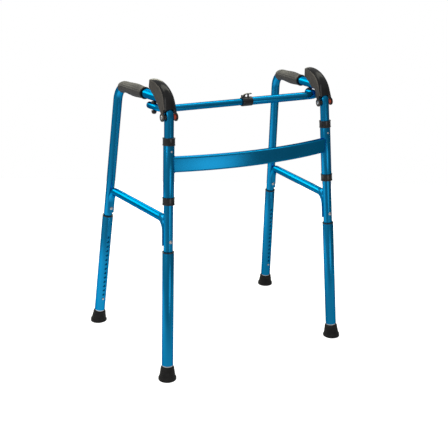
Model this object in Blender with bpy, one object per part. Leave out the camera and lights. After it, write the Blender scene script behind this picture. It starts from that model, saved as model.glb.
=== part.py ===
# Folding walking frame with palm paddles: two bent side frames joined by a bowed
# crossbar that turns on the front legs and by a telescoping upper bar.
# Metres, +Z up, +X to the right, the crossbars face -Y and the user stands at +Y.
# The origin is on the floor, midway between the four feet.

from math import acos, ceil, cos, pi, radians, sin, sqrt, tan

import bmesh
import bpy
from mathutils import Matrix, Vector

# Stance of the right-hand side frame; the left one is its mirror image
FRONT_FOOT_X = 0.2820
REAR_FOOT_X = 0.3145
FOOT_DEPTH = 0.4355
FRONT_LEAN_IN = 0.0510
FRONT_LEAN_BACK = 0.0735
REAR_LEAN_FORWARD = 0.1320
HANDLE_HEIGHT = 0.7640
CROSSBAR_BELOW_HANDLE = 0.1650
CROSSBAR_HEIGHT = HANDLE_HEIGHT - CROSSBAR_BELOW_HANDLE
FRONT_BEND_RADIUS = 0.0480
REAR_BEND_RADIUS = 0.0500

# Hinge between the front leg and the crossbar
SLEEVE_BELOW_CROSSBAR = 0.0855
SLEEVE_ABOVE_CROSSBAR = 0.0510
SLEEVE_BOTTOM = CROSSBAR_HEIGHT - SLEEVE_BELOW_CROSSBAR
SLEEVE_TOP = CROSSBAR_HEIGHT + SLEEVE_ABOVE_CROSSBAR
SLEEVE_RADIUS = 0.0147
SLEEVE_WALL = 0.0016
COLLAR_HEIGHT = 0.0195
COLLAR_RADIUS = 0.0168
COLLAR_GROOVE_DEPTH = 0.0006
SLEEVE_RIVET_BELOW_TOP = 0.0150
SLEEVE_RIVET_HEIGHT = SLEEVE_TOP - SLEEVE_RIVET_BELOW_TOP
SLEEVE_RIVET_RADIUS = 0.0030

# Side brace, under the hinge
BRACE_BELOW_SLEEVE = 0.0625
BRACE_LEG_LENGTH = 0.0720
BRACE_HEIGHT = SLEEVE_BOTTOM - BRACE_BELOW_SLEEVE
BRACE_END_HEIGHT = BRACE_HEIGHT - BRACE_LEG_LENGTH
BRACE_RADIUS = 0.0112
BRACE_BEND_RADIUS = 0.0260
BRACE_FLAT_THICK = 0.0058
BRACE_FLAT_WIDE = 0.0205
BRACE_RIVET_ABOVE_END = 0.0150
BRACE_RIVET_HEIGHT = BRACE_END_HEIGHT + BRACE_RIVET_ABOVE_END
BRACE_RIVET_RADIUS = 0.0031
RIVET_HEAD_RADIUS = 0.0048
RIVET_HEAD_HEIGHT = 0.0022

# Leg tubes; the extensions end below the brace
TUBE_RADIUS = 0.0127
TUBE_WALL = 0.0016
EXTENSION_RADIUS = 0.0159
EXTENSION_WALL = 0.0014
EXTENSION_BELOW_BRACE = 0.0160
EXTENSION_TOP = BRACE_END_HEIGHT - EXTENSION_BELOW_BRACE
EXTENSION_BOTTOM = 0.0415
TUBE_END_BELOW_BUTTON = 0.0200

# Height adjustment
BUTTON_HEIGHT = 0.0845
HOLE_PITCH = 0.01515
PLAIN_TOP = 0.0580
HOLE_COUNT = int((EXTENSION_TOP - PLAIN_TOP - BUTTON_HEIGHT) / HOLE_PITCH) + 1
HOLE_RADIUS = 0.0040
BUTTON_RADIUS = 0.0033
BUTTON_PROUD = 0.0028
BUTTON_LEAF_LENGTH = 0.0260
BUTTON_LEAF_WIDTH = 0.0070
BUTTON_LEAF_THICKNESS = 0.0009

# Bush ring at the mouth of each extension
BUSH_LIP_HEIGHT = 0.0026
BUSH_LIP_PROUD = 0.0005
BUSH_DEPTH = 0.0180

# Feet
TIP_TOP_RADIUS = 0.0182
TIP_BASE_RADIUS = 0.0250
TIP_TOP_HEIGHT = 0.0375
TIP_FLARE_HEIGHT = 0.0100
TIP_FLOOR_THICKNESS = 0.0100
FERRULE_BAND_RADIUS = 0.0148
FERRULE_STEM_RADIUS = 0.0120
FERRULE_PLUG_LENGTH = 0.0180

# Bowed lower crossbar
CROSSBAR_TALL = 0.0415
CROSSBAR_THICK = 0.0170
CROSSBAR_CORNER_RADIUS = 0.0050
CROSSBAR_LIFT = 0.0010
CROSSBAR_BOW = 0.0380
CROSSBAR_STATIONS = 15
CROSSBAR_SLEEVE_OVERLAP = 0.0060

# Upper bar
BAR_BELOW_HANDLE = 0.0273
BAR_HEIGHT = HANDLE_HEIGHT - BAR_BELOW_HANDLE
BAR_BEHIND_LEG = 0.0360
BAR_PIN_BEHIND_LEG = 0.0780
BAR_STUB_LEFT = 0.0255
BAR_STUB_RIGHT = 0.0120
BAR_BEND_RADIUS = 0.0280
BAR_LEFT_RADIUS = 0.0093
BAR_RIGHT_RADIUS = 0.0110
BAR_WALL = 0.0013
BAR_COLLAR_X = 0.0080
BAR_INSERTION = 0.0750
PIN_RADIUS = 0.0030
PIN_INTO_HANDLE = 0.0060
SPACER_RADIUS = 0.0070
DOME_RADIUS = 0.0070
DOME_LEFT = 0.0095
DOME_RIGHT = 0.0060

# Centre collar and its lock lever
BAR_COLLAR_LENGTH = 0.0310
BAR_COLLAR_RADIUS = 0.0126
COLLAR_MOUTH = 0.0085
LEVER_WIDTH = 0.0085
LEVER_THICK = 0.0020
LEVER_ARCH = 0.0068
LEVER_REACH = 0.0235
LEVER_PIN_RADIUS = 0.0012
LEVER_EYE_RADIUS = 0.0023
LEVER_PIN_LIFT = 0.0016
LEVER_PIN_INSET = 0.0050
LUG_WALL = 0.0018
NIB_REACH = 0.0155
NIB_WIDTH = 0.0050
NIB_LENGTH = 0.0032

# Hand grip
GRIP_BEHIND_PIN = 0.046346
GRIP_BEFORE_REAR_LEG = 0.018152
GRIP_FRONT = FRONT_LEAN_BACK * HANDLE_HEIGHT + BAR_PIN_BEHIND_LEG + GRIP_BEHIND_PIN
GRIP_REAR = FOOT_DEPTH - REAR_LEAN_FORWARD * HANDLE_HEIGHT - GRIP_BEFORE_REAR_LEG
GRIP_RADIUS = 0.0158
GRIP_SWELL = 0.0024
GRIP_FLANGE_RADIUS = 0.0166
GRIP_FLANGE_LENGTH = 0.0060

# Palm paddle, measured back and up from its pin. The crisp edge between side and crown is a
# quarter of an ellipse; the foot of the side wall runs from the ear to the rear end.
PADDLE_PIN_BELOW_HANDLE = 0.0415
PADDLE_PIN_HEIGHT = HANDLE_HEIGHT - PADDLE_PIN_BELOW_HANDLE
EDGE_CENTRE = (0.0880, 0.0240)
EDGE_REACH = 0.0850
EDGE_START = radians(10)
EDGE_RISE = 0.0590
CROWN_DEPTH_REAR = 0.0030
CROWN_DEPTH_FRONT = 0.0140
LIP_EDGE = (-0.0055, 0.0140)
LIP_CROWN = (-0.0134, 0.0240)
LIP_FOOT = (-0.0050, 0.0050)
FOOT_START = (0.0050, 0.0050)
FOOT_REAR = (0.0850, 0.0635)
FOOT_BULGE = 0.0040
PADDLE_HALF_FRONT = 0.0214
PADDLE_HALF_REAR = 0.0155
PADDLE_DRAFT = 0.0026
PADDLE_WALL = 0.0023
CROWN_SWEEP = radians(68)
PADDLE_TRAVEL = radians(9)
PADDLE_RELIEF = 0.0044
EAR_RADIUS = 0.0110
EAR_INNER = 0.0186
EAR_OUTER = 0.0215
PADDLE_PIN_RADIUS = 0.0028
PIVOT_BUSH_RADIUS = 0.0070

# Fits
GAP = 0.0003
RUNNING_GAP = 0.0004
TELESCOPE_GAP = 0.0004

# Facets round each kind of piece
TUBE_SIDES = 14
BAR_SIDES = 12
SMALL_SIDES = 8
ROUND_SIDES = 16
BEND_STEP = radians(20)


def clear_scene():
    for obj in list(bpy.data.objects):
        bpy.data.objects.remove(obj, do_unlink=True)


def make_material(name, colour, roughness, metallic):
    material = bpy.data.materials.new(name)
    material.use_nodes = True
    shader = material.node_tree.nodes["Principled BSDF"]
    shader.inputs["Base Color"].default_value = (*colour, 1.0)
    shader.inputs["Roughness"].default_value = roughness
    shader.inputs["Metallic"].default_value = metallic
    material.diffuse_color = (*colour, 1.0)
    return material


# Places on the right-hand side frame, which lies in one leaning plane
def rest_y(distance_behind_front_foot):
    return distance_behind_front_foot - FOOT_DEPTH / 2


def plane_flare():
    return (REAR_FOOT_X - FRONT_FOOT_X) / FOOT_DEPTH


def plane_lean():
    return -FRONT_LEAN_IN - plane_flare() * FRONT_LEAN_BACK


def side_point(behind, height):
    """A point of the right-hand side plane, by its distance behind the front foot and its height."""
    x = FRONT_FOOT_X + plane_flare() * behind + plane_lean() * height
    return Vector((x, rest_y(behind), height))


def front_leg(height):
    return side_point(FRONT_LEAN_BACK * height, height)


def rear_leg(height):
    return side_point(FOOT_DEPTH - REAR_LEAN_FORWARD * height, height)


def side_normal():
    """The right-hand side plane's normal, pointing outward."""
    across = side_point(1, 0) - side_point(0, 0)
    up = side_point(0, 1) - side_point(0, 0)
    return across.cross(up).normalized()


def frame_at(origin, up, back):
    """A frame with Z along up and X as near as it can be to back."""
    z = up.normalized()
    y = z.cross(back).normalized()
    x = y.cross(z)
    matrix = Matrix((x, y, z)).transposed().to_4x4()
    matrix.translation = origin
    return matrix


def plane_back():
    return (side_point(1, 0) - side_point(0, 0)).normalized()


def front_frame(height):
    return frame_at(front_leg(height), front_leg(1) - front_leg(0), plane_back())


def rear_frame(height):
    return frame_at(rear_leg(height), rear_leg(1) - rear_leg(0), -plane_back())


# Mesh builders: each returns a bmesh in the right-hand side's world place
def bridge_rings(bm, rings, closed_path=False):
    pairs = list(zip(rings, rings[1:]))
    if closed_path:
        pairs.append((rings[-1], rings[0]))
    for first, second in pairs:
        count = len(first)
        for i in range(count):
            j = (i + 1) % count
            bm.faces.new((first[i], first[j], second[j], second[i]))


def finished(bm):
    bmesh.ops.recalc_face_normals(bm, faces=bm.faces)
    if bm.calc_volume(signed=True) < 0:
        bmesh.ops.reverse_faces(bm, faces=bm.faces)
    return bm


def revolve(profile, sides, matrix, closed=True, phase=0.0):
    """Turns (radius, height) points round Z. A closed profile makes a ring, an open one has flat ends."""
    bm = bmesh.new()
    rings = []
    for radius, height in profile:
        ring = []
        for i in range(sides):
            angle = 2 * pi * (i + phase) / sides
            ring.append(bm.verts.new(matrix @ Vector((radius * cos(angle), radius * sin(angle), height))))
        rings.append(ring)
    bridge_rings(bm, rings, closed_path=closed)
    if not closed:
        bm.faces.new(rings[0])
        bm.faces.new(rings[-1])
    return finished(bm)


def rod(radius, bottom, top, matrix, sides, phase=0.0):
    return revolve(((radius, bottom), (radius, top)), sides, matrix, closed=False, phase=phase)


def pipe(outer, inner, bottom, top, matrix, sides):
    profile = ((outer, bottom), (outer, top), (inner, top), (inner, bottom))
    return revolve(profile, sides, matrix)


def rounded_path(corners, radii):
    """Centreline points through corners, each rounded by its radius, and the direction at each point."""
    points = [corners[0]]
    for before, corner, after, radius in zip(corners, corners[1:], corners[2:], radii):
        come = (corner - before).normalized()
        go = (after - corner).normalized()
        turn = acos(max(-1.0, min(1.0, come.dot(go))))
        reach = radius * tan(turn / 2)
        start = corner - come * reach
        inward = (go - come * come.dot(go)).normalized()
        steps = max(2, ceil(turn / BEND_STEP))
        for k in range(steps + 1):
            angle = turn * k / steps
            points.append(start + come * radius * sin(angle) + inward * radius * (1 - cos(angle)))
    points.append(corners[-1])
    return points


def path_directions(points):
    directions = []
    for i, point in enumerate(points):
        ahead = (points[min(i + 1, len(points) - 1)] - point)
        back = (point - points[max(i - 1, 0)])
        directions.append((ahead.normalized() + back.normalized()).normalized())
    return directions


def sweep(points, sections, side_axis):
    """Bridges rings along a path.

    sections gives each ring's (across, beside) outline, and side_axis is never parallel to the path.
    """
    bm = bmesh.new()
    rings = []
    for point, direction, outline in zip(points, path_directions(points), sections):
        across = direction.cross(side_axis).normalized()
        beside = across.cross(direction).normalized()
        rings.append([bm.verts.new(point + across * a + beside * b) for a, b in outline])
    return bm, rings


def circle_outline(radius, sides):
    return [(radius * cos(2 * pi * i / sides), radius * sin(2 * pi * i / sides)) for i in range(sides)]


def solid_sweep(points, sections, side_axis):
    bm, rings = sweep(points, sections, side_axis)
    bridge_rings(bm, rings)
    bm.faces.new(rings[0])
    bm.faces.new(rings[-1])
    return finished(bm)


def bent_tube(points, outer, inner, sides, side_axis):
    """An open-ended tube of even wall along a path."""
    bm, outside = sweep(points, [circle_outline(outer, sides)] * len(points), side_axis)
    inside = []
    for point, direction in zip(points, path_directions(points)):
        across = direction.cross(side_axis).normalized()
        beside = across.cross(direction).normalized()
        inside.append([bm.verts.new(point + across * a + beside * b)
                       for a, b in circle_outline(inner, sides)])
    bridge_rings(bm, outside)
    bridge_rings(bm, inside)
    for shell_end, bore_end in ((outside[0], inside[0]), (outside[-1], inside[-1])):
        bridge_rings(bm, [shell_end, bore_end])
    return finished(bm)


def object_from(bm, name):
    mesh = bpy.data.meshes.new(name)
    bm.to_mesh(mesh)
    bm.free()
    obj = bpy.data.objects.new(name, mesh)
    bpy.context.scene.collection.objects.link(obj)
    return obj


def combine(target, tools, operation):
    """The bmesh left when each tool is cut from, or joined to, the target."""
    body = object_from(target, "body")
    helpers = [object_from(tool, "tool") for tool in tools]
    for helper in helpers:
        modifier = body.modifiers.new("step", "BOOLEAN")
        modifier.operation = operation
        modifier.object = helper
        modifier.solver = "EXACT"
    graph = bpy.context.evaluated_depsgraph_get()
    result = bmesh.new()
    result.from_mesh(body.evaluated_get(graph).to_mesh())
    for obj in (body, *helpers):
        bpy.data.objects.remove(obj, do_unlink=True)
    return result


def cut(target, *tools):
    return combine(target, tools, "DIFFERENCE")


def joined(target, *tools):
    return combine(target, tools, "UNION")


def put(name, bm, origin, material, mirrored=False):
    """Makes the named object with its origin on its joint, mirrored to the left where asked."""
    if mirrored:
        origin = Vector((-origin.x, origin.y, origin.z))
        for vertex in bm.verts:
            vertex.co.x = -vertex.co.x
        bmesh.ops.reverse_faces(bm, faces=bm.faces)
    for vertex in bm.verts:
        vertex.co -= origin
    obj = object_from(bm, name)
    obj.location = origin
    obj.data.materials.append(material)
    obj.data.shade_smooth()
    obj.data.set_sharp_from_angle(angle=radians(35))
    return obj


def put_pair(name, build, origin, material):
    """The same piece on both sides: build is called once for each."""
    put(name + "_right", build(), origin, material)
    put(name + "_left", build(), origin, material, mirrored=True)


# Side frames
def handle_axis_point(behind):
    return side_point(behind, HANDLE_HEIGHT)


def tube_end_height():
    return BUTTON_HEIGHT - TUBE_END_BELOW_BUTTON


def side_tube_corners():
    front_top = front_leg(HANDLE_HEIGHT)
    rear_top = rear_leg(HANDLE_HEIGHT)
    return [front_leg(tube_end_height()), front_top, rear_top, rear_leg(tube_end_height())]


def radial_rod(frame, radius, start, end, sides):
    """A rod across a leg, along the frame's X axis, from one distance off the leg's axis to another."""
    turn = Matrix.Rotation(pi / 2, 4, "Y")
    return rod(radius, start, end, frame @ turn, sides, phase=0.5)


def side_rod(frame, radius, start, end, sides):
    """The same along the frame's Y axis."""
    turn = Matrix.Rotation(-pi / 2, 4, "X")
    return rod(radius, start, end, frame @ turn, sides, phase=0.5)


def paddle_frame():
    """On the paddle's pin, upright in the side plane."""
    return frame_at(front_leg(PADDLE_PIN_HEIGHT), side_point(0, 1) - side_point(0, 0), plane_back())


def pin_foot():
    """Where the upper bar's pivot pin crosses the stub's axis, under the handle."""
    leg = front_leg(BAR_HEIGHT)
    return side_point(FRONT_LEAN_BACK * BAR_HEIGHT + BAR_PIN_BEHIND_LEG, BAR_HEIGHT), leg


def bar_pin_frame():
    """The pivot pin stands parallel to the front leg, so that the bar moves level as the frames fold."""
    foot, leg = pin_foot()
    return frame_at(foot, front_leg(1) - front_leg(0), plane_back())


def handle_above_bar():
    """Distance from the bar's axis up the pivot pin to the handle tube's axis."""
    frame = bar_pin_frame()
    up = frame.col[2].to_3d()
    return (HANDLE_HEIGHT - BAR_HEIGHT) / up.z


def side_tube():
    corners = side_tube_corners()
    points = rounded_path(corners, (FRONT_BEND_RADIUS, REAR_BEND_RADIUS))
    tube = bent_tube(points, TUBE_RADIUS, TUBE_RADIUS - TUBE_WALL, TUBE_SIDES, side_normal())
    through = TUBE_RADIUS + TUBE_WALL
    rivet_hole = BRACE_RIVET_RADIUS + GAP
    tools = []
    for frame_of in (front_frame, rear_frame):
        tools.append(radial_rod(frame_of(BUTTON_HEIGHT), HOLE_RADIUS, 0, through, SMALL_SIDES))
        tools.append(radial_rod(frame_of(BRACE_RIVET_HEIGHT), rivet_hole, -through, through, SMALL_SIDES))
    tools.append(side_rod(paddle_frame(), PADDLE_PIN_RADIUS + GAP, -through, through, SMALL_SIDES))
    pin_top = handle_above_bar()
    tools.append(rod(PIN_RADIUS + RUNNING_GAP, pin_top - through, pin_top, bar_pin_frame(), SMALL_SIDES))
    return cut(tube, *tools)


def extension(frame_of):
    """The outer leg tube, with its row of holes facing the other leg."""
    base = frame_of(0)
    rise = base.col[2].to_3d().z
    tube = pipe(EXTENSION_RADIUS, EXTENSION_RADIUS - EXTENSION_WALL,
                EXTENSION_BOTTOM / rise, EXTENSION_TOP / rise, base, TUBE_SIDES)
    holes = [radial_rod(frame_of(BUTTON_HEIGHT + k * HOLE_PITCH), HOLE_RADIUS,
                        EXTENSION_RADIUS - 3 * EXTENSION_WALL, EXTENSION_RADIUS + EXTENSION_WALL, 8)
             for k in range(HOLE_COUNT)]
    return cut(tube, *holes)


def extension_bush(frame_of):
    """The plastic ring that centres the inner tube in the mouth of the extension."""
    base = frame_of(0)
    rise = base.col[2].to_3d().z
    top = EXTENSION_TOP / rise + GAP
    inner = TUBE_RADIUS + RUNNING_GAP
    spigot = EXTENSION_RADIUS - EXTENSION_WALL - GAP
    lip = EXTENSION_RADIUS + BUSH_LIP_PROUD
    profile = ((spigot, top - BUSH_DEPTH), (spigot, top), (lip, top), (lip, top + BUSH_LIP_HEIGHT),
               (inner, top + BUSH_LIP_HEIGHT), (inner, top - BUSH_DEPTH))
    return revolve(profile, TUBE_SIDES, base)


def foot_ferrule(frame_of):
    """The metal plug between the extension and the rubber: plug, band and stem."""
    base = frame_of(0)
    rise = base.col[2].to_3d().z
    seat = EXTENSION_BOTTOM / rise - GAP
    plug = EXTENSION_RADIUS - EXTENSION_WALL - GAP
    band_bottom = TIP_TOP_HEIGHT / rise + GAP
    stem_bottom = TIP_FLOOR_THICKNESS / rise + GAP
    profile = ((FERRULE_STEM_RADIUS, stem_bottom), (FERRULE_STEM_RADIUS, band_bottom),
               (FERRULE_BAND_RADIUS, band_bottom), (FERRULE_BAND_RADIUS, seat),
               (plug, seat), (plug, seat + FERRULE_PLUG_LENGTH))
    return revolve(profile, TUBE_SIDES, base, closed=False)


def foot_tip(frame_of):
    """The flared rubber tip, cut level at the floor."""
    base = frame_of(0)
    rise = base.col[2].to_3d().z
    bore = FERRULE_STEM_RADIUS + GAP
    below = -TIP_BASE_RADIUS * 0.4
    top = TIP_TOP_HEIGHT / rise
    profile = ((TIP_BASE_RADIUS, below), (TIP_BASE_RADIUS, TIP_FLARE_HEIGHT * 0.6),
               (TIP_BASE_RADIUS - 0.0026, TIP_FLARE_HEIGHT),
               (TIP_TOP_RADIUS + 0.0004, top - 0.0024), (TIP_TOP_RADIUS - 0.0016, top),
               (bore, top), (bore, TIP_FLOOR_THICKNESS / rise))
    tip = revolve(profile, ROUND_SIDES, base, closed=False)
    floor = bmesh.new()
    bmesh.ops.create_cube(floor, size=1.0)
    deep = 0.1
    centre = base.translation
    for vertex in floor.verts:
        vertex.co = Vector((centre.x + vertex.co.x * deep, centre.y + vertex.co.y * deep,
                            (vertex.co.z - 0.5) * deep))
    return cut(tip, floor)


def spring_button(frame_of):
    """A domed button on its leaf, inside the inner tube; the leaf stands in for the folded spring."""
    frame = frame_of(BUTTON_HEIGHT)
    inner_wall = TUBE_RADIUS - TUBE_WALL
    leaf_out = sqrt(inner_wall ** 2 - (BUTTON_LEAF_WIDTH / 2) ** 2) - 2 * GAP
    leaf_in = leaf_out - BUTTON_LEAF_THICKNESS
    crown = EXTENSION_RADIUS + BUTTON_PROUD
    turn = Matrix.Rotation(pi / 2, 4, "Y")
    profile = ((BUTTON_RADIUS, leaf_in), (BUTTON_RADIUS, crown - 0.0018),
               (BUTTON_RADIUS * 0.82, crown - 0.0007), (BUTTON_RADIUS * 0.42, crown))
    dome = revolve(profile, SMALL_SIDES, frame @ turn, closed=False)
    leaf = bmesh.new()
    bmesh.ops.create_cube(leaf, size=1.0)
    for vertex in leaf.verts:
        x = (leaf_out + leaf_in) / 2 + vertex.co.x * BUTTON_LEAF_THICKNESS
        vertex.co = frame @ Vector((x, vertex.co.y * BUTTON_LEAF_WIDTH,
                                    vertex.co.z * BUTTON_LEAF_LENGTH + BUTTON_LEAF_LENGTH * 0.22))
    return joined(dome, leaf)


def collar(bottom):
    """A two-part look clamp ring on the front leg, with a groove round its middle."""
    base = front_frame(0)
    rise = base.col[2].to_3d().z
    low = bottom / rise
    high = (bottom + COLLAR_HEIGHT) / rise
    middle = (low + high) / 2
    inner = TUBE_RADIUS + GAP
    edge = 0.0012
    profile = ((COLLAR_RADIUS - edge, low), (COLLAR_RADIUS, low + edge),
               (COLLAR_RADIUS - COLLAR_GROOVE_DEPTH, middle), (COLLAR_RADIUS, high - edge),
               (COLLAR_RADIUS - edge, high), (inner, high), (inner, low))
    return revolve(profile, TUBE_SIDES, base)


def lower_collar():
    return collar(SLEEVE_BOTTOM - GAP - COLLAR_HEIGHT)


def upper_collar():
    return collar(SLEEVE_TOP + GAP)


def hinge_sleeve():
    base = front_frame(0)
    rise = base.col[2].to_3d().z
    inner = SLEEVE_RADIUS - SLEEVE_WALL
    sleeve = pipe(SLEEVE_RADIUS, inner, SLEEVE_BOTTOM / rise, SLEEVE_TOP / rise, base, ROUND_SIDES)
    hole = radial_rod(front_frame(SLEEVE_RIVET_HEIGHT), SLEEVE_RIVET_RADIUS * 0.6 + GAP,
                      -SLEEVE_RADIUS - SLEEVE_WALL, -inner + SLEEVE_WALL, SMALL_SIDES)
    return cut(sleeve, hole)


def rivet_profile(shank, start, end, head):
    """A button-head rivet from its plain end to its domed head."""
    return ((shank, start), (shank, end), (head, end), (head * 0.9, end + RIVET_HEAD_HEIGHT * 0.55),
            (head * 0.45, end + RIVET_HEAD_HEIGHT))


def sleeve_rivet():
    frame = front_frame(SLEEVE_RIVET_HEIGHT) @ Matrix.Rotation(-pi / 2, 4, "Y")
    start = SLEEVE_RADIUS - SLEEVE_WALL + GAP
    profile = rivet_profile(SLEEVE_RIVET_RADIUS * 0.6, start, SLEEVE_RADIUS + GAP, SLEEVE_RIVET_RADIUS)
    return revolve(profile, SMALL_SIDES, frame, closed=False)


def brace_rivet(frame_of):
    """Through the leg and the brace's flattened end, with its round head to the front."""
    to_front = -pi / 2 if frame_of is front_frame else pi / 2
    frame = frame_of(BRACE_RIVET_HEIGHT) @ Matrix.Rotation(to_front, 4, "Y")
    flat = TUBE_RADIUS + GAP + BRACE_FLAT_THICK + GAP
    tail = RIVET_HEAD_HEIGHT * 0.6
    head_seat = TUBE_RADIUS + GAP if frame_of is front_frame else flat
    tail_seat = flat if frame_of is front_frame else TUBE_RADIUS + GAP
    shank = BRACE_RIVET_RADIUS
    head = RIVET_HEAD_RADIUS
    profile = ((head * 0.8, -tail_seat - tail), (head * 0.95, -tail_seat)) + rivet_profile(
        shank, -tail_seat, head_seat, head)
    return revolve(profile, SMALL_SIDES, frame, closed=False)


def brace_path():
    """The brace's centreline: up the front leg's back, across, and down the rear leg's front."""
    off = TUBE_RADIUS + GAP + BRACE_FLAT_THICK / 2

    def beside(frame_of, height):
        frame = frame_of(height)
        return frame.translation + frame.col[0].to_3d() * off

    front_low = beside(front_frame, BRACE_END_HEIGHT)
    front_high = beside(front_frame, BRACE_HEIGHT)
    rear_high = beside(rear_frame, BRACE_HEIGHT)
    rear_low = beside(rear_frame, BRACE_END_HEIGHT)
    return rounded_path([front_low, front_high, rear_high, rear_low], (BRACE_BEND_RADIUS,) * 2)


def side_brace():
    """A round tube whose ends are squeezed flat where they lie on the legs."""
    points = brace_path()
    sides = BAR_SIDES
    flat_top = BRACE_HEIGHT - BRACE_BEND_RADIUS * 1.5
    extra = []
    for near, far in ((0, 1), (-1, -2)):
        low, high = points[near], points[far]
        share = (flat_top - low.z) / (high.z - low.z)
        extra.append(low.lerp(high, max(0.3, min(0.75, share))))
    points = [points[0], extra[0]] + points[1:-1] + [extra[1], points[-1]]
    sections = []
    for point in points:
        rise = (point.z - flat_top) / (BRACE_HEIGHT - BRACE_BEND_RADIUS * 0.35 - flat_top)
        round_share = max(0.0, min(1.0, rise))
        half_thick = BRACE_FLAT_THICK / 2 + (BRACE_RADIUS - BRACE_FLAT_THICK / 2) * round_share
        half_wide = BRACE_FLAT_WIDE / 2 + (BRACE_RADIUS - BRACE_FLAT_WIDE / 2) * round_share
        sections.append([(half_thick * a, half_wide * b) for a, b in circle_outline(1.0, sides)])
    brace = solid_sweep(points, sections, side_normal())
    tools = []
    for frame_of in (front_frame, rear_frame):
        tools.append(rod(TUBE_RADIUS + GAP, -0.15, 0.15, frame_of(BRACE_HEIGHT), TUBE_SIDES * 2, phase=0.5))
        tools.append(radial_rod(frame_of(BRACE_RIVET_HEIGHT), BRACE_RIVET_RADIUS + GAP,
                                TUBE_RADIUS - GAP, TUBE_RADIUS + 3 * BRACE_FLAT_THICK, SMALL_SIDES))
    return cut(brace, *tools)


def grip_path():
    corners = side_tube_corners()
    points = rounded_path(corners, (FRONT_BEND_RADIUS, REAR_BEND_RADIUS))
    front = rest_y(GRIP_FRONT)
    rear = rest_y(GRIP_REAR)
    handle = [p for p in points if front < p.y < rear and p.z > HANDLE_HEIGHT - 2 * TUBE_RADIUS]
    first = handle_axis_point(GRIP_FRONT)
    steps = 6
    bend_start = handle[0]
    straight = [first.lerp(bend_start, k / steps) for k in range(steps)]
    return straight + handle


def hand_grip():
    """A moulded grip: flange, swelling palm rest and a plain rear end that follows the bend."""
    points = grip_path()
    inner = TUBE_RADIUS + GAP
    total = sum((b - a).length for a, b in zip(points, points[1:]))
    travelled = 0.0
    radii = []
    for i, point in enumerate(points):
        if i:
            travelled += (point - points[i - 1]).length
        share = travelled / total
        radii.append(GRIP_RADIUS + GRIP_SWELL * sin(pi * min(1.0, share * 1.25)) ** 2)
    flange_end = points[0] + (points[1] - points[0]).normalized() * GRIP_FLANGE_LENGTH
    step = flange_end + (points[1] - points[0]).normalized() * 0.0004
    spine = [points[0], flange_end, step] + points[1:]
    widths = [GRIP_FLANGE_RADIUS, GRIP_FLANGE_RADIUS, GRIP_RADIUS] + radii[1:]
    bm, outside = sweep(spine, [circle_outline(r, TUBE_SIDES) for r in widths], side_normal())
    bore = []
    for index in (0, *range(8, len(spine))):
        point = spine[index]
        direction = path_directions(spine)[index]
        across = direction.cross(side_normal()).normalized()
        beside = across.cross(direction).normalized()
        bore.append([bm.verts.new(point + across * a + beside * b)
                     for a, b in circle_outline(inner / cos(pi / TUBE_SIDES), TUBE_SIDES)])
    bridge_rings(bm, outside)
    bridge_rings(bm, bore)
    bridge_rings(bm, [outside[0], bore[0]])
    bridge_rings(bm, [outside[-1], bore[-1]])
    return finished(bm)


def paddle_station(progress):
    """Foot, edge and crown of the paddle's section, and how far it has narrowed there."""
    angle = EDGE_START + (pi / 2 - EDGE_START) * progress
    centre = Vector(EDGE_CENTRE)
    edge = centre + Vector((-EDGE_REACH * cos(angle), EDGE_RISE * sin(angle)))
    outward = Vector((-cos(angle) / EDGE_REACH, sin(angle) / EDGE_RISE)).normalized()
    depth = CROWN_DEPTH_REAR + (CROWN_DEPTH_FRONT - CROWN_DEPTH_REAR) * cos(angle)
    share = 1 - cos(angle)
    foot = Vector(FOOT_START).lerp(Vector(FOOT_REAR), share) + Vector((0, FOOT_BULGE * sin(pi * share)))
    return foot, edge, edge + outward * depth, sin(pi / 2 * progress)


def paddle_sections(shrink):
    """Rings of the paddle's skin from its front lip to its rear end, each from foot to crown to foot."""
    frame = paddle_frame()
    arc = 8
    stations = [(Vector(LIP_FOOT), Vector(LIP_EDGE), Vector(LIP_CROWN), 0.0)]
    stations += [paddle_station(k / 6) for k in range(7)]
    rings = []
    for foot, edge, crown, rear_share in stations:
        half_foot = PADDLE_HALF_FRONT + (PADDLE_HALF_REAR - PADDLE_HALF_FRONT) * rear_share - shrink
        half_edge = half_foot - PADDLE_DRAFT
        rise = (crown - edge).normalized()
        top = crown - rise * shrink
        low = edge - rise * shrink * 0.4
        ring = [(foot.x, -half_foot, foot.y)]
        for i in range(arc + 1):
            angle = CROWN_SWEEP * (2 * i / arc - 1)
            share = (cos(angle) - cos(CROWN_SWEEP)) / (1 - cos(CROWN_SWEEP))
            place = low.lerp(top, share)
            ring.append((place.x, half_edge * sin(angle) / sin(CROWN_SWEEP), place.y))
        ring.append((foot.x, half_foot, foot.y))
        rings.append([frame @ Vector(p) for p in ring])
    return rings


def bar_relief():
    """The room that the upper bar needs in the paddle's inner wall when the paddle is pressed down."""
    path = bar_points(0)
    outline = circle_outline((BAR_RIGHT_RADIUS + PADDLE_RELIEF) / cos(pi / TUBE_SIDES), TUBE_SIDES)
    room = solid_sweep(path, [outline] * len(path), Vector((0, 0, 1)))
    frame = paddle_frame()
    room.transform(frame @ Matrix.Rotation(-PADDLE_TRAVEL, 4, "Y") @ frame.inverted())
    return room


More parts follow.
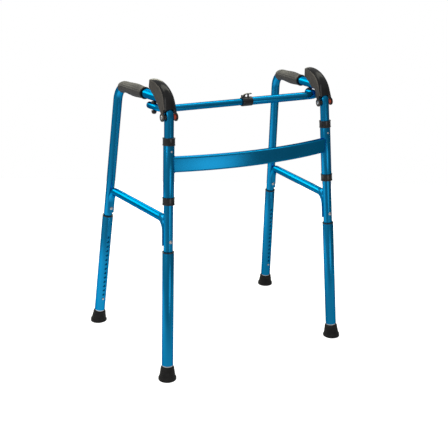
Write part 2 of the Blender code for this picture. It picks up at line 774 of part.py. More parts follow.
def paddle():
    """A curved shell over the front bend, open below, with two ears round the pivot pin."""
    bm = bmesh.new()
    outer = [[bm.verts.new(p) for p in ring] for ring in paddle_sections(0.0)]
    inner = [[bm.verts.new(p) for p in ring] for ring in paddle_sections(PADDLE_WALL)]
    for rings in (outer, inner):
        for first, second in zip(rings, rings[1:]):
            for i in range(len(first) - 1):
                bm.faces.new((first[i], first[i + 1], second[i + 1], second[i]))
    for first, second in zip(outer, inner):
        if first is outer[0] or first is outer[-1]:
            for i in range(len(first) - 1):
                bm.faces.new((first[i], first[i + 1], second[i + 1], second[i]))
    for k in range(len(outer) - 1):
        for end in (0, -1):
            bm.faces.new((outer[k][end], outer[k + 1][end], inner[k + 1][end], inner[k][end]))
    shell = finished(bm)
    frame = paddle_frame()
    ears = []
    for sign in (-1, 1):
        ears.append(side_rod(frame, EAR_RADIUS, sign * EAR_INNER, sign * EAR_OUTER, ROUND_SIDES))
    shell = joined(shell, *ears)
    bore = side_rod(frame, PADDLE_PIN_RADIUS + GAP, -2 * EAR_OUTER, 2 * EAR_OUTER, SMALL_SIDES)
    return cut(shell, bore, bar_relief())


def paddle_pin():
    frame = paddle_frame() @ Matrix.Rotation(-pi / 2, 4, "X")
    seat = EAR_OUTER + GAP
    head = RIVET_HEAD_RADIUS
    profile = ((head * 0.45, -seat - RIVET_HEAD_HEIGHT), (head, -seat - RIVET_HEAD_HEIGHT * 0.3),
               (head, -seat)) + rivet_profile(PADDLE_PIN_RADIUS, -seat, seat, head)
    return revolve(profile, SMALL_SIDES, frame, closed=False)


def pivot_bush(sign):
    """A spacer bush between the leg and one ear, hollowed to sit on the round tube."""
    frame = paddle_frame()
    inner = PADDLE_PIN_RADIUS + GAP
    near = TUBE_RADIUS * 0.55
    far = EAR_INNER - GAP
    turn = Matrix.Rotation(-pi / 2 * sign, 4, "X")
    bush = pipe(PIVOT_BUSH_RADIUS, inner, near, far, frame @ turn, BAR_SIDES)
    return cut(bush, bent_tube_core())


def bent_tube_core():
    """The front bend of the side tube, a little oversize and solid, to clear what sits against it."""
    points = rounded_path(side_tube_corners(), (FRONT_BEND_RADIUS, REAR_BEND_RADIUS))
    near = [p for p in points if p.z > PADDLE_PIN_HEIGHT - 0.05 and p.y < rest_y(0.2)]
    path = [front_leg(PADDLE_PIN_HEIGHT - 0.04)] + near
    clear = (TUBE_RADIUS + GAP) / cos(pi / TUBE_SIDES)
    return solid_sweep(path, [circle_outline(clear, TUBE_SIDES)] * len(path), side_normal())


# Upper bar
def bar_axis_y():
    foot, leg = pin_foot()
    return leg.y + BAR_BEHIND_LEG


def bar_points(inner_end_x, stub=BAR_STUB_RIGHT):
    """The right-hand bar's centreline, from its open stub end to its inner end."""
    foot, leg = pin_foot()
    back = plane_back()
    stub_end = foot + back * stub
    reach = (bar_axis_y() - foot.y) / back.y
    corner = foot + back * reach
    inner = Vector((inner_end_x, corner.y, corner.z))
    return rounded_path([stub_end, corner, inner], (BAR_BEND_RADIUS,))


def bar_tube(radius, inner_end_x, stub):
    path = bar_points(inner_end_x, stub)
    tube = bent_tube(path, radius, radius - BAR_WALL, BAR_SIDES, Vector((0, 0, 1)))
    hole = rod(PIN_RADIUS + GAP, -2 * radius, 2 * radius, bar_pin_frame(), SMALL_SIDES, phase=0.5)
    return cut(tube, hole)


def bar_mouth_x():
    """Where the thicker tube ends inside its collar."""
    return BAR_COLLAR_X - BAR_COLLAR_LENGTH / 2 + COLLAR_MOUTH + GAP


def thick_bar():
    return cut(bar_tube(BAR_RIGHT_RADIUS, bar_mouth_x(), BAR_STUB_RIGHT), nib_block(RUNNING_GAP))


def thin_bar():
    return bar_tube(BAR_LEFT_RADIUS, -(bar_mouth_x() + BAR_INSERTION), BAR_STUB_LEFT)


def pivot_spacer(radius):
    """The black bush between the stub and the handle tube, round the pivot pin."""
    frame = bar_pin_frame()
    low = radius * 0.7
    high = handle_above_bar() - TUBE_RADIUS - GAP - SPACER_RADIUS * FRONT_LEAN_BACK
    bush = pipe(SPACER_RADIUS, PIN_RADIUS + GAP, low, high, frame, 12)
    stub = bar_points(0)
    saddle = [circle_outline(radius + GAP, TUBE_SIDES * 2)] * 2
    return cut(bush, solid_sweep(stub[:2], saddle, Vector((0, 0, 1))))


def pivot_pin(radius, dome):
    """The pivot pin with its blunt black foot under the stub."""
    seat = -radius - GAP - DOME_RADIUS * FRONT_LEAN_BACK
    top = handle_above_bar() - TUBE_RADIUS + PIN_INTO_HANDLE
    profile = ((DOME_RADIUS * 0.35, seat - dome), (DOME_RADIUS * 0.60, seat - dome * 0.75),
               (DOME_RADIUS, seat - dome * 0.25), (DOME_RADIUS, seat),
               (PIN_RADIUS, seat), (PIN_RADIUS, top - 0.0008), (PIN_RADIUS * 0.7, top))
    return revolve(profile, 12, bar_pin_frame(), closed=False)


def bar_frame(x):
    """A frame on the bar's axis with Z along +X and X straight up."""
    foot, leg = pin_foot()
    return frame_at(Vector((x, bar_points(0)[-1].y, foot.z)), Vector((1, 0, 0)), Vector((0, 0, 1)))


def block(frame, low, high):
    """A box between two corners given in a frame."""
    bm = bmesh.new()
    bmesh.ops.create_cube(bm, size=1.0)
    for vertex in bm.verts:
        vertex.co = frame @ Vector([low[i] + (high[i] - low[i]) * (vertex.co[i] + 0.5) for i in range(3)])
    return finished(bm)


def lever_frame():
    """On the lever's pin, X up and Z along the bar to the right."""
    frame = bar_frame(BAR_COLLAR_X - BAR_COLLAR_LENGTH / 2 + LEVER_PIN_INSET)
    return frame @ Matrix.Translation((BAR_COLLAR_RADIUS + LEVER_PIN_LIFT, 0, 0))


def nib_block(clearance):
    """The lever's locking nib, grown by a clearance where it is used to cut its slots."""
    bottom = BAR_LEFT_RADIUS + RUNNING_GAP - BAR_COLLAR_RADIUS - LEVER_PIN_LIFT - clearance
    half = NIB_WIDTH / 2 + clearance
    low = (bottom, -half, NIB_REACH - NIB_LENGTH / 2 - clearance)
    high = (LEVER_ARCH, half, NIB_REACH + NIB_LENGTH / 2 + 2.5 * clearance)
    return block(lever_frame(), low, high)


def bar_collar():
    """The collar at the mouth of the thicker tube, with two lugs on top for the lever's pin."""
    frame = bar_frame(BAR_COLLAR_X)
    half = BAR_COLLAR_LENGTH / 2
    edge = 0.0010
    outer = BAR_COLLAR_RADIUS
    snug = BAR_LEFT_RADIUS + TELESCOPE_GAP
    wide = BAR_RIGHT_RADIUS + GAP
    step = -half + COLLAR_MOUTH
    profile = ((outer - edge, -half), (outer, -half + edge), (outer, half - edge), (outer - edge, half),
               (wide, half), (wide, step), (snug, step), (snug, -half))
    ring = revolve(profile, ROUND_SIDES, frame)
    lugs = []
    for side in (-1, 1):
        inner = side * (LEVER_WIDTH / 2 + GAP)
        far = side * (LEVER_WIDTH / 2 + GAP + LUG_WALL)
        low = (-LEVER_PIN_LIFT - 0.0024, min(inner, far), -0.0028)
        high = (2.2 * LEVER_PIN_RADIUS, max(inner, far), 0.0028)
        lugs.append(block(lever_frame(), low, high))
    reach = LEVER_WIDTH
    hole = side_rod(lever_frame(), LEVER_PIN_RADIUS + GAP, -reach, reach, SMALL_SIDES)
    rest = LEVER_WIDTH / 2 + GAP
    seat = side_rod(lever_frame(), LEVER_EYE_RADIUS + RUNNING_GAP, -rest, rest, BAR_SIDES)
    return cut(joined(ring, *lugs), hole, seat, nib_block(RUNNING_GAP))


def lock_lever():
    """An arched lever: pivot eye, arched arm, finger tab turned up, and a nib that points down."""
    frame = lever_frame()
    half = LEVER_WIDTH / 2
    arch = ((0.15, -0.05), (0.40, 0.08), (0.72, 0.21), (0.96, 0.41), (1.0, 0.62), (0.88, 0.80), (1.02, 1.0))
    spine = [frame @ Vector((LEVER_ARCH * up, 0, LEVER_REACH * along)) for up, along in arch]
    across = frame.col[1].to_3d()
    thick = LEVER_THICK / 2
    outline = [(-thick, -half), (thick, -half), (thick, half), (-thick, half)]
    arm = solid_sweep(spine, [outline] * len(spine), across)
    eye = side_rod(frame, LEVER_EYE_RADIUS, -half, half, SMALL_SIDES)
    lever = joined(arm, eye, nib_block(0.0))
    bore = side_rod(frame, LEVER_PIN_RADIUS + GAP, -LEVER_WIDTH, LEVER_WIDTH, SMALL_SIDES)
    return cut(lever, bore)


def lever_pin():
    reach = LEVER_WIDTH / 2 + GAP + LUG_WALL + 0.0005
    return side_rod(lever_frame(), LEVER_PIN_RADIUS, -reach, reach, SMALL_SIDES)


def lower_crossbar():
    """A rectangular tube, rounded at its corners, bowed forward and coped to the sleeves."""
    half_x = front_leg(CROSSBAR_HEIGHT).x
    end_y = front_leg(CROSSBAR_HEIGHT).y
    reach = half_x - SLEEVE_RADIUS + CROSSBAR_SLEEVE_OVERLAP
    points = []
    for k in range(CROSSBAR_STATIONS):
        x = reach * (2 * k / (CROSSBAR_STATIONS - 1) - 1)
        y = end_y - CROSSBAR_BOW * (1 - (x / half_x) ** 2)
        points.append(Vector((x, y, CROSSBAR_HEIGHT + CROSSBAR_LIFT)))
    flat_across = CROSSBAR_THICK / 2 - CROSSBAR_CORNER_RADIUS
    flat_up = CROSSBAR_TALL / 2 - CROSSBAR_CORNER_RADIUS
    outline = []
    arc = 2
    for quarter, (across, up) in enumerate(((1, 1), (-1, 1), (-1, -1), (1, -1))):
        for i in range(arc + 1):
            angle = pi / 2 * (quarter + i / arc)
            outline.append((across * flat_across + CROSSBAR_CORNER_RADIUS * cos(angle),
                            up * flat_up + CROSSBAR_CORNER_RADIUS * sin(angle)))
    bar = solid_sweep(points, [outline] * len(points), Vector((0, 0, 1)))
    tools = []
    for side in (1, -1):
        frame = front_frame(CROSSBAR_HEIGHT)
        cope = rod(SLEEVE_RADIUS + GAP, -0.06, 0.06, frame, TUBE_SIDES * 2)
        if side < 0:
            for vertex in cope.verts:
                vertex.co.x = -vertex.co.x
            bmesh.ops.reverse_faces(cope, faces=cope.faces)
        tools.append(cope)
    return cut(bar, *tools)


def build():
    clear_scene()
    blue = make_material("blue_anodised", (0.010, 0.190, 0.480), 0.28, 0.85)
    black = make_material("black_plastic", (0.020, 0.020, 0.022), 0.45, 0.0)
    rubber = make_material("black_rubber", (0.018, 0.018, 0.018), 0.75, 0.0)
    vinyl = make_material("grip_vinyl", (0.070, 0.062, 0.055), 0.65, 0.0)
    cover = make_material("paddle_plastic", (0.045, 0.043, 0.044), 0.40, 0.0)
    orange = make_material("orange_plastic", (0.620, 0.090, 0.030), 0.45, 0.0)
    steel = make_material("bright_steel", (0.720, 0.720, 0.730), 0.25, 1.0)

    floor_centre = Vector((0, 0, 0))
    hinge = front_leg(CROSSBAR_HEIGHT)
    put("lower_crossbar", lower_crossbar(), floor_centre, blue)
    put_pair("hinge_sleeve", hinge_sleeve, hinge, blue)
    put_pair("sleeve_rivet", sleeve_rivet, hinge, steel)

    put_pair("side_tube", side_tube, hinge, blue)
    put_pair("collar_upper", upper_collar, hinge, black)
    put_pair("collar_lower", lower_collar, hinge, black)
    put_pair("side_brace", side_brace, hinge, blue)
    put_pair("hand_grip", hand_grip, hinge, vinyl)
    paddle_axis = front_leg(PADDLE_PIN_HEIGHT)
    put_pair("palm_paddle", paddle, paddle_axis, cover)
    put_pair("paddle_pin", paddle_pin, paddle_axis, steel)
    put("pivot_bush_outer_right", pivot_bush(-1), paddle_axis, orange)
    put("pivot_bush_outer_left", pivot_bush(-1), paddle_axis, black, mirrored=True)
    put("pivot_bush_inner_right", pivot_bush(1), paddle_axis, black)
    put("pivot_bush_inner_left", pivot_bush(1), paddle_axis, orange, mirrored=True)

    for leg_name, frame_of in (("front", front_frame), ("rear", rear_frame)):
        foot = frame_of(0).translation
        put_pair("brace_rivet_" + leg_name, lambda: brace_rivet(frame_of), hinge, steel)
        put_pair("leg_extension_" + leg_name, lambda: extension(frame_of), foot, blue)
        put_pair("extension_bush_" + leg_name, lambda: extension_bush(frame_of), foot, black)
        put_pair("foot_ferrule_" + leg_name, lambda: foot_ferrule(frame_of), foot, steel)
        put_pair("foot_tip_" + leg_name, lambda: foot_tip(frame_of), foot, rubber)
        button = frame_of(BUTTON_HEIGHT).translation
        put_pair("spring_button_" + leg_name, lambda: spring_button(frame_of), button, steel)

    foot, leg = pin_foot()
    put("upper_bar_right", thick_bar(), foot, blue)
    put("upper_bar_left", thin_bar(), foot, blue, mirrored=True)
    for name, radius, dome, mirrored in (("right", BAR_RIGHT_RADIUS, DOME_RIGHT, False),
                                         ("left", BAR_LEFT_RADIUS, DOME_LEFT, True)):
        put("pivot_spacer_" + name, pivot_spacer(radius), foot, black, mirrored)
        put("pivot_pin_" + name, pivot_pin(radius, dome), foot, black, mirrored)
    put("bar_collar", bar_collar(), foot, black)
    put("lock_lever", lock_lever(), lever_frame().translation, black)
    put("lever_pin", lever_pin(), lever_frame().translation, steel)


build()
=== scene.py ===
# The looks of the folding walking frame: round drawn tubes, moulded plastics, vinyl grips, rubber
# tips and welds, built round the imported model. Metres, +Z up, the crossbars face -Y.

from itertools import repeat
from math import acos, ceil, cos, pi, radians, sin, sqrt, tan

import bmesh
import bpy
from mathutils import Matrix, Vector


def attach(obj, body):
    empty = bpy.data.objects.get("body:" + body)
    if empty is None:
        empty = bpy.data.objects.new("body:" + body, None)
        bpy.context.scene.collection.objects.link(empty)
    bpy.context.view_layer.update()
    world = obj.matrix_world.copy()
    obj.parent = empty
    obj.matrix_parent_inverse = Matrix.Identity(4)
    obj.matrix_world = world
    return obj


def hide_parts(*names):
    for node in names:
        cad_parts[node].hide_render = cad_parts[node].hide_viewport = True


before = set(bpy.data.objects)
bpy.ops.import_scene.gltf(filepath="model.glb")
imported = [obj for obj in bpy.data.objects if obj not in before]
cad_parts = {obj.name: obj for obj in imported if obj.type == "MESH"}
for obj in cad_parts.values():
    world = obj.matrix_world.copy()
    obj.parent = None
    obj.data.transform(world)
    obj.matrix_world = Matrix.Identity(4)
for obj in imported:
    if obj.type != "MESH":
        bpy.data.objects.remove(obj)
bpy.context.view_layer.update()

# Stance of the right-hand side frame, as in the solids; the left one is its mirror image
FRONT_FOOT_X = 0.282
REAR_FOOT_X = 0.3145
FOOT_DEPTH = 0.4355
FRONT_LEAN_IN = 0.051
FRONT_LEAN_BACK = 0.0735
REAR_LEAN_FORWARD = 0.132
HANDLE_HEIGHT = 0.764
FRONT_BEND_RADIUS = 0.048
REAR_BEND_RADIUS = 0.05

# Leg tubes
TUBE_RADIUS = 0.0127
TUBE_WALL = 0.0016
EXTENSION_RADIUS = 0.0159
EXTENSION_WALL = 0.0014
EXTENSION_BORE = EXTENSION_RADIUS - EXTENSION_WALL
EXTENSION_TOP = 0.363
EXTENSION_BOTTOM = 0.0415
TUBE_END_HEIGHT = 0.0645
BUTTON_HEIGHT = 0.0845
HOLE_PITCH = 0.01515
HOLE_COUNT = 15
HOLE_RADIUS = 0.004
BUTTON_RADIUS = 0.0033
BUTTON_PROUD = 0.0028
LEAF_LENGTH = 0.026
LEAF_WIDTH = 0.007
LEAF_THICKNESS = 0.0009
BUSH_LIP_HEIGHT = 0.0026
BUSH_LIP_PROUD = 0.0005
BUSH_DEPTH = 0.018

# Feet
TIP_BASE_RADIUS = 0.025
TIP_WAIST_RADIUS = 0.0224
TIP_SHOULDER_RADIUS = 0.0186
TIP_MOUTH_RADIUS = 0.0166
TIP_TOP_HEIGHT = 0.0375
TIP_SHOULDER_DROP = 0.0024
TIP_FLARE_HEIGHT = 0.01
TIP_FLOOR_THICKNESS = 0.01
TIP_RINGS = 4
TIP_RING = ((0.0, -0.0011), (0.0007, -0.0005), (0.0007, 0.0005), (0.0, 0.0011))
FERRULE_BAND_RADIUS = 0.0148
FERRULE_STEM_RADIUS = 0.012
FERRULE_PLUG_LENGTH = 0.018

# Hinge on the front leg, with its collars and rivets
SLEEVE_BOTTOM = 0.5135
SLEEVE_TOP = 0.65
SLEEVE_RADIUS = 0.0147
SLEEVE_WALL = 0.0016
COLLAR_HEIGHT = 0.0195
COLLAR_RADIUS = 0.0168
COLLAR_SHOULDER = 0.0022
COLLAR_STEP = 0.0007
SLEEVE_RIVET_HEIGHT = 0.635
SLEEVE_RIVET_RADIUS = 0.003
RIVET_HEAD_RADIUS = 0.0048
RIVET_HEAD_HEIGHT = 0.0022

# Bowed crossbar and side brace
CROSSBAR_HEIGHT = 0.599
CROSSBAR_TALL = 0.0415
CROSSBAR_THICK = 0.017
CROSSBAR_CORNER_RADIUS = 0.005
CROSSBAR_LIFT = 0.001
CROSSBAR_BOW = 0.038
BRACE_HEIGHT = 0.451
BRACE_RADIUS = 0.0112
BRACE_BEND_RADIUS = 0.026
BRACE_END_HEIGHT = 0.379
BRACE_FLAT_THICK = 0.0058
BRACE_FLAT_WIDE = 0.0205
BRACE_RIVET_HEIGHT = 0.394
BRACE_RIVET_RADIUS = 0.0031

# Upper bar, its pivots, collar and lever
BAR_HEIGHT = 0.7367
BAR_BEHIND_LEG = 0.036
BAR_PIN_BEHIND_LEG = 0.078
BAR_STUB_LEFT = 0.0255
BAR_STUB_RIGHT = 0.012
BAR_BEND_RADIUS = 0.028
BAR_LEFT_RADIUS = 0.0093
BAR_RIGHT_RADIUS = 0.011
BAR_WALL = 0.0013
BAR_COLLAR_X = 0.008
BAR_INSERTION = 0.075
PIN_RADIUS = 0.003
PIN_INTO_HANDLE = 0.006
SPACER_RADIUS = 0.007
DOME_RADIUS = 0.007
DOME_LEFT = 0.0095
DOME_RIGHT = 0.006
BAR_COLLAR_LENGTH = 0.031
BAR_COLLAR_RADIUS = 0.0126
COLLAR_MOUTH = 0.0085
LEVER_WIDTH = 0.0085
LEVER_THICK = 0.002
LEVER_ARCH = 0.0068
LEVER_REACH = 0.0235
LEVER_PIN_RADIUS = 0.0012
LEVER_EYE_RADIUS = 0.0023
LEVER_PIN_LIFT = 0.0016
LEVER_PIN_INSET = 0.005
LUG_WALL = 0.0018
NIB_REACH = 0.0155
NIB_WIDTH = 0.005
NIB_LENGTH = 0.0032
LEVER_KNOTS = ((0.15, -0.05), (0.4, 0.08), (0.72, 0.21), (0.96, 0.41), (1.0, 0.62),
               (0.88, 0.8), (1.02, 1.0))
LUG_HALF = 0.0028
LUG_SUNK = 0.0024

# Hand grip
GRIP_FRONT = 0.1805
GRIP_REAR = 0.3165
GRIP_RADIUS = 0.0158
GRIP_SWELL = 0.0024
GRIP_FLANGE_RADIUS = 0.0166
GRIP_FLANGE_LENGTH = 0.006
GRIP_FLANGE_BEVEL = 0.0008
GRIP_END_BEVEL = 0.0012
GRIP_FLUTES = 18
GRIP_FLUTE_DEPTH = 0.0005

# Palm paddle, back and up from its pin
PADDLE_PIN_HEIGHT = 0.7225
EDGE_CENTRE = (0.088, 0.024)
EDGE_REACH = 0.085
EDGE_START = radians(10)
EDGE_RISE = 0.059
CROWN_DEPTH_REAR = 0.003
CROWN_DEPTH_FRONT = 0.014
LIP_EDGE = (-0.0055, 0.014)
LIP_CROWN = (-0.0134, 0.024)
LIP_FOOT = (-0.005, 0.005)
FOOT_START = (0.005, 0.005)
FOOT_REAR = (0.085, 0.0635)
FOOT_BULGE = 0.004
PADDLE_HALF_FRONT = 0.0214
PADDLE_HALF_REAR = 0.0155
PADDLE_DRAFT = 0.0026
PADDLE_WALL = 0.0023
CROWN_SWEEP = radians(68)
EAR_RADIUS = 0.011
EAR_INNER = 0.0186
EAR_OUTER = 0.0215
PADDLE_PIN_RADIUS = 0.0028
PIVOT_BUSH_RADIUS = 0.007
PADDLE_TRAVEL = radians(9)
PADDLE_RELIEF = 0.0044

# Welds
WELD_PITCH = 0.0016
WELD_RADIUS = 0.0017
WELD_SEED = 3
WELD_PROUD = 0.0004

# Clearances, facets and edge rounding
GAP = 0.0003
RUNNING_GAP = 0.0004
CUTTER_REACH = 0.15
TUBE_SIDES = 56
TURNED_SIDES = 48
SMALL_SIDES = 24
BEND_STEP = radians(4)
DOME_TURNS = range(0, 86, 12)
EASE = 0.0005
SMALL_EASE = 0.0001
EASE_STEPS = 3
UP = Vector((0, 0, 1))


# Places on the right-hand side frame, which lies in one leaning plane
def rest_y(behind):
    return behind - FOOT_DEPTH / 2


def side_point(behind, height):
    flare = (REAR_FOOT_X - FRONT_FOOT_X) / FOOT_DEPTH
    lean = -FRONT_LEAN_IN - flare * FRONT_LEAN_BACK
    return Vector((FRONT_FOOT_X + flare * behind + lean * height, rest_y(behind), height))


def front_leg(height):
    return side_point(FRONT_LEAN_BACK * height, height)


def rear_leg(height):
    return side_point(FOOT_DEPTH - REAR_LEAN_FORWARD * height, height)


PLANE_BACK = (side_point(1, 0) - side_point(0, 0)).normalized()
PLANE_UP = side_point(0, 1) - side_point(0, 0)
SIDE_NORMAL = PLANE_BACK.cross(PLANE_UP).normalized()
FRONT_UP = front_leg(1) - front_leg(0)


def frame_at(origin, up, back):
    z = up.normalized()
    y = z.cross(back).normalized()
    matrix = Matrix((y.cross(z), y, z)).transposed().to_4x4()
    matrix.translation = origin
    return matrix


def front_frame(height):
    return frame_at(front_leg(height), FRONT_UP, PLANE_BACK)


def rear_frame(height):
    return frame_at(rear_leg(height), rear_leg(1) - rear_leg(0), -PLANE_BACK)


PADDLE_FRAME = frame_at(front_leg(PADDLE_PIN_HEIGHT), PLANE_UP, PLANE_BACK)
PIN_FOOT = side_point(FRONT_LEAN_BACK * BAR_HEIGHT + BAR_PIN_BEHIND_LEG, BAR_HEIGHT)
PIN_FRAME = frame_at(PIN_FOOT, FRONT_UP, PLANE_BACK)
HANDLE_ABOVE_BAR = (HANDLE_HEIGHT - BAR_HEIGHT) / PIN_FRAME.col[2].z
TURN_TO_X = Matrix.Rotation(pi / 2, 4, "Y")
TURN_TO_Y = Matrix.Rotation(-pi / 2, 4, "X")


def on_axis(frame_of):
    """A leg's frame on the floor, and how far one metre along the leg rises."""
    base = frame_of(0)
    return base, base.col[2].z


# Mesh tools
def strip(bm, first, second):
    """Faces between two rows of vertices."""
    for i in range(len(first) - 1):
        bm.faces.new((first[i], first[i + 1], second[i + 1], second[i]))


def outward(bm):
    bmesh.ops.recalc_face_normals(bm, faces=bm.faces)
    if bm.calc_volume(signed=True) < 0:
        bmesh.ops.reverse_faces(bm, faces=bm.faces)
    return bm


def skinned(bm, rings, closed=False):
    """A solid through rings of vertices, its ends flat unless they meet."""
    for first, second in zip(rings, rings[1:] + rings[:1] if closed else rings[1:]):
        strip(bm, [*first, first[0]], [*second, second[0]])
    if not closed:
        bm.faces.new(rings[0])
        bm.faces.new(rings[-1])
    return outward(bm)


def eased(profile, ease=EASE, closed=True):
    """Rounds a profile's corners, by ease or by what their sides leave room for."""
    points = [Vector(p) for p in profile]
    count = len(points)
    result = []
    for i, point in enumerate(points):
        if not closed and i in (0, count - 1):
            result.append(point)
            continue
        before = points[i - 1] - point
        after = points[(i + 1) % count] - point
        reach = min(ease, before.length * 0.45, after.length * 0.45)
        start = point + before.normalized() * reach
        end = point + after.normalized() * reach
        for k in range(EASE_STEPS + 1):
            t = k / EASE_STEPS
            result.append(start * (1 - t) ** 2 + point * 2 * t * (1 - t) + end * t ** 2)
    return result


def circle(radius, sides=TUBE_SIDES):
    angles = [2 * pi * i / sides for i in range(sides)]
    return [(radius * cos(a), radius * sin(a)) for a in angles]


def turned(profile, matrix, sides=TURNED_SIDES, closed=True, ease=EASE):
    """Turns (radius, height) points round Z. Closed profiles make rings, open ones flat ends."""
    bm = bmesh.new()
    rings = [[bm.verts.new(matrix @ Vector((*p, height))) for p in circle(radius, sides)]
             for radius, height in eased(profile, ease, closed)]
    return skinned(bm, rings, closed)


def walls(*bands):
    """A profile of straight walls, each given by its radius and the heights it joins."""
    return [(radius, height) for radius, *heights in bands for height in heights]


def rod(radius, bottom, top, matrix, sides=SMALL_SIDES):
    return turned(walls((radius, bottom, top)), matrix, sides, closed=False)


def rounded_path(corners, radii):
    points = [corners[0]]
    for before, corner, after, radius in zip(corners, corners[1:], corners[2:], radii):
        come = (corner - before).normalized()
        go = (after - corner).normalized()
        turn = acos(max(-1.0, min(1.0, come.dot(go))))
        start = corner - come * radius * tan(turn / 2)
        inward = (go - come * come.dot(go)).normalized()
        steps = max(2, ceil(turn / BEND_STEP))
        for k in range(steps + 1):
            angle = turn * k / steps
            points.append(start + come * radius * sin(angle) + inward * radius * (1 - cos(angle)))
    points.append(corners[-1])
    return points


def swept(points, sections, side_axis):
    """A solid along a path, with an outline of (across, beside) places for each point."""
    bm = bmesh.new()
    rings = []
    last = len(points) - 1
    for i, (point, outline) in enumerate(zip(points, sections)):
        ahead = points[min(i + 1, last)] - point
        behind = point - points[max(i - 1, 0)]
        direction = (ahead.normalized() + behind.normalized()).normalized()
        across = direction.cross(side_axis).normalized()
        beside = across.cross(direction).normalized()
        rings.append([bm.verts.new(point + across * a + beside * b) for a, b in outline])
    return skinned(bm, rings)


def bevelled(bm, offset, least_angle=0, segments=3):
    """Rounds the edges where two faces meet at more than an angle in degrees."""
    edges = [e for e in bm.edges if e.calc_face_angle(0) > radians(least_angle)]
    bmesh.ops.bevel(bm, geom=edges, offset=offset, segments=segments, profile=0.5, affect="EDGES")


def block(matrix, low, high, ease=0.0):
    bm = bmesh.new()
    bmesh.ops.create_cube(bm, size=1.0)
    for vertex in bm.verts:
        corner = [a + (b - a) * (c + 0.5) for a, b, c in zip(low, high, vertex.co)]
        vertex.co = matrix @ Vector(corner)
    if ease:
        bevelled(bm, ease)
    return outward(bm)


def placed(name, data):
    obj = bpy.data.objects.new(name, data)
    bpy.context.scene.collection.objects.link(obj)
    return obj


def object_from(bm, name):
    mesh = bpy.data.meshes.new(name)
    bm.to_mesh(mesh)
    bm.free()
    return placed(name, mesh)


def taken(obj, *helpers):
    """An object's evaluated mesh, as a bmesh. The object and its helpers are deleted."""
    bpy.context.view_layer.update()
    graph = bpy.context.evaluated_depsgraph_get()
    result = bmesh.new()
    result.from_mesh(obj.evaluated_get(graph).to_mesh())
    for done in (obj, *helpers):
        bpy.data.objects.remove(done, do_unlink=True)
    return result


def combine(target, tools, operation):
    body = object_from(target, "body")
    helpers = [object_from(tool, "tool") for tool in tools]
    for helper in helpers:
        modifier = body.modifiers.new("step", "BOOLEAN")
        modifier.operation = operation
        modifier.object = helper
        modifier.solver = "EXACT"
    return taken(body, *helpers)


def cut(target, *tools):
    return combine(target, tools, "DIFFERENCE")


def joined(target, *tools):
    return combine(target, tools, "UNION")


# Node trees
def new_tree(kind, name, inputs, outputs):
    """An empty node group with named sockets. Returns it, what it's given, and its end."""
    tree = bpy.data.node_groups.new(name, kind)
    for in_out, sockets in (("INPUT", inputs), ("OUTPUT", outputs)):
        for label, shape in sockets.items():
            tree.interface.new_socket(label, in_out=in_out, socket_type="NodeSocket" + shape)
    return tree, tree.nodes.new("NodeGroupInput").outputs, tree.nodes.new("NodeGroupOutput")


def feed(node, sources):
    """Feeds each input from a socket, from a node's first output, or with a value."""
    for label, source in sources.items():
        if isinstance(source, bpy.types.Node):
            source = source.outputs[0]
        if isinstance(source, bpy.types.NodeSocket):
            node.id_data.links.new(source, node.inputs[label])
        else:
            node.inputs[label].default_value = source


def add(near, kind, sources={}, **settings):
    """A new node in a tree, or beside a node or socket that is in it."""
    node = near.id_data.nodes.new(kind)
    for key, value in settings.items():
        setattr(node, key, value)
    feed(node, sources)
    return node


# Geometry Nodes, for what follows a path or repeats
def grower(name, sizes):
    inputs = {"Geometry": "Geometry", **sizes, "Material": "Material"}
    return new_tree("GeometryNodeTree", name, inputs, {"Geometry": "Geometry"})


def close_tree(tree, given, result, geometry):
    """Ends a tree in real meshes with their material."""
    real = add(tree, "GeometryNodeRealizeInstances", {"Geometry": geometry})
    painted = add(tree, "GeometryNodeSetMaterial",
                  {"Geometry": real, "Material": given["Material"]})
    feed(result, {"Geometry": painted})
    return tree


def grown(tree, base, **sizes):
    """The mesh that a tree makes from a base object, as a bmesh. The base is deleted."""
    modifier = base.modifiers.new("grow", "NODES")
    modifier.node_group = tree
    for item in tree.interface.items_tree:
        key = item.name.lower()
        if item.in_out == "INPUT" and key in sizes:
            modifier[item.identifier] = sizes[key]
    return taken(base)


def path_object(points, closed=False):
    mesh = bpy.data.meshes.new("path")
    edges = [(i, i + 1) for i in range(len(points) - 1)]
    if closed:
        edges.append((len(points) - 1, 0))
    mesh.from_pydata(points, edges, [])
    return placed("path", mesh)


def tube_tree():
    """A drawn tube: a round skin along the path, and its bore one wall inside."""
    tree, given, result = grower("drawn_tube", {"Radius": "Float", "Wall": "Float"})
    line = add(tree, "GeometryNodeMeshToCurve", {"Mesh": given["Geometry"]})
    ring = add(tree, "GeometryNodeCurvePrimitiveCircle",
               {"Resolution": TUBE_SIDES, "Radius": given["Radius"]})
    skin = add(tree, "GeometryNodeCurveToMesh", {"Curve": line, "Profile Curve": ring})
    inward = maths("MULTIPLY", given["Wall"], -1.0)
    bore = add(tree, "GeometryNodeExtrudeMesh",
               {"Mesh": skin, "Offset Scale": inward, "Individual": False})
    both = add(tree, "GeometryNodeJoinGeometry", {0: skin})
    feed(both, {0: add(tree, "GeometryNodeFlipFaces", {"Mesh": bore})})
    closed = add(tree, "GeometryNodeMergeByDistance", {"Geometry": both, "Distance": 1e-6})
    return close_tree(tree, given, result, closed)


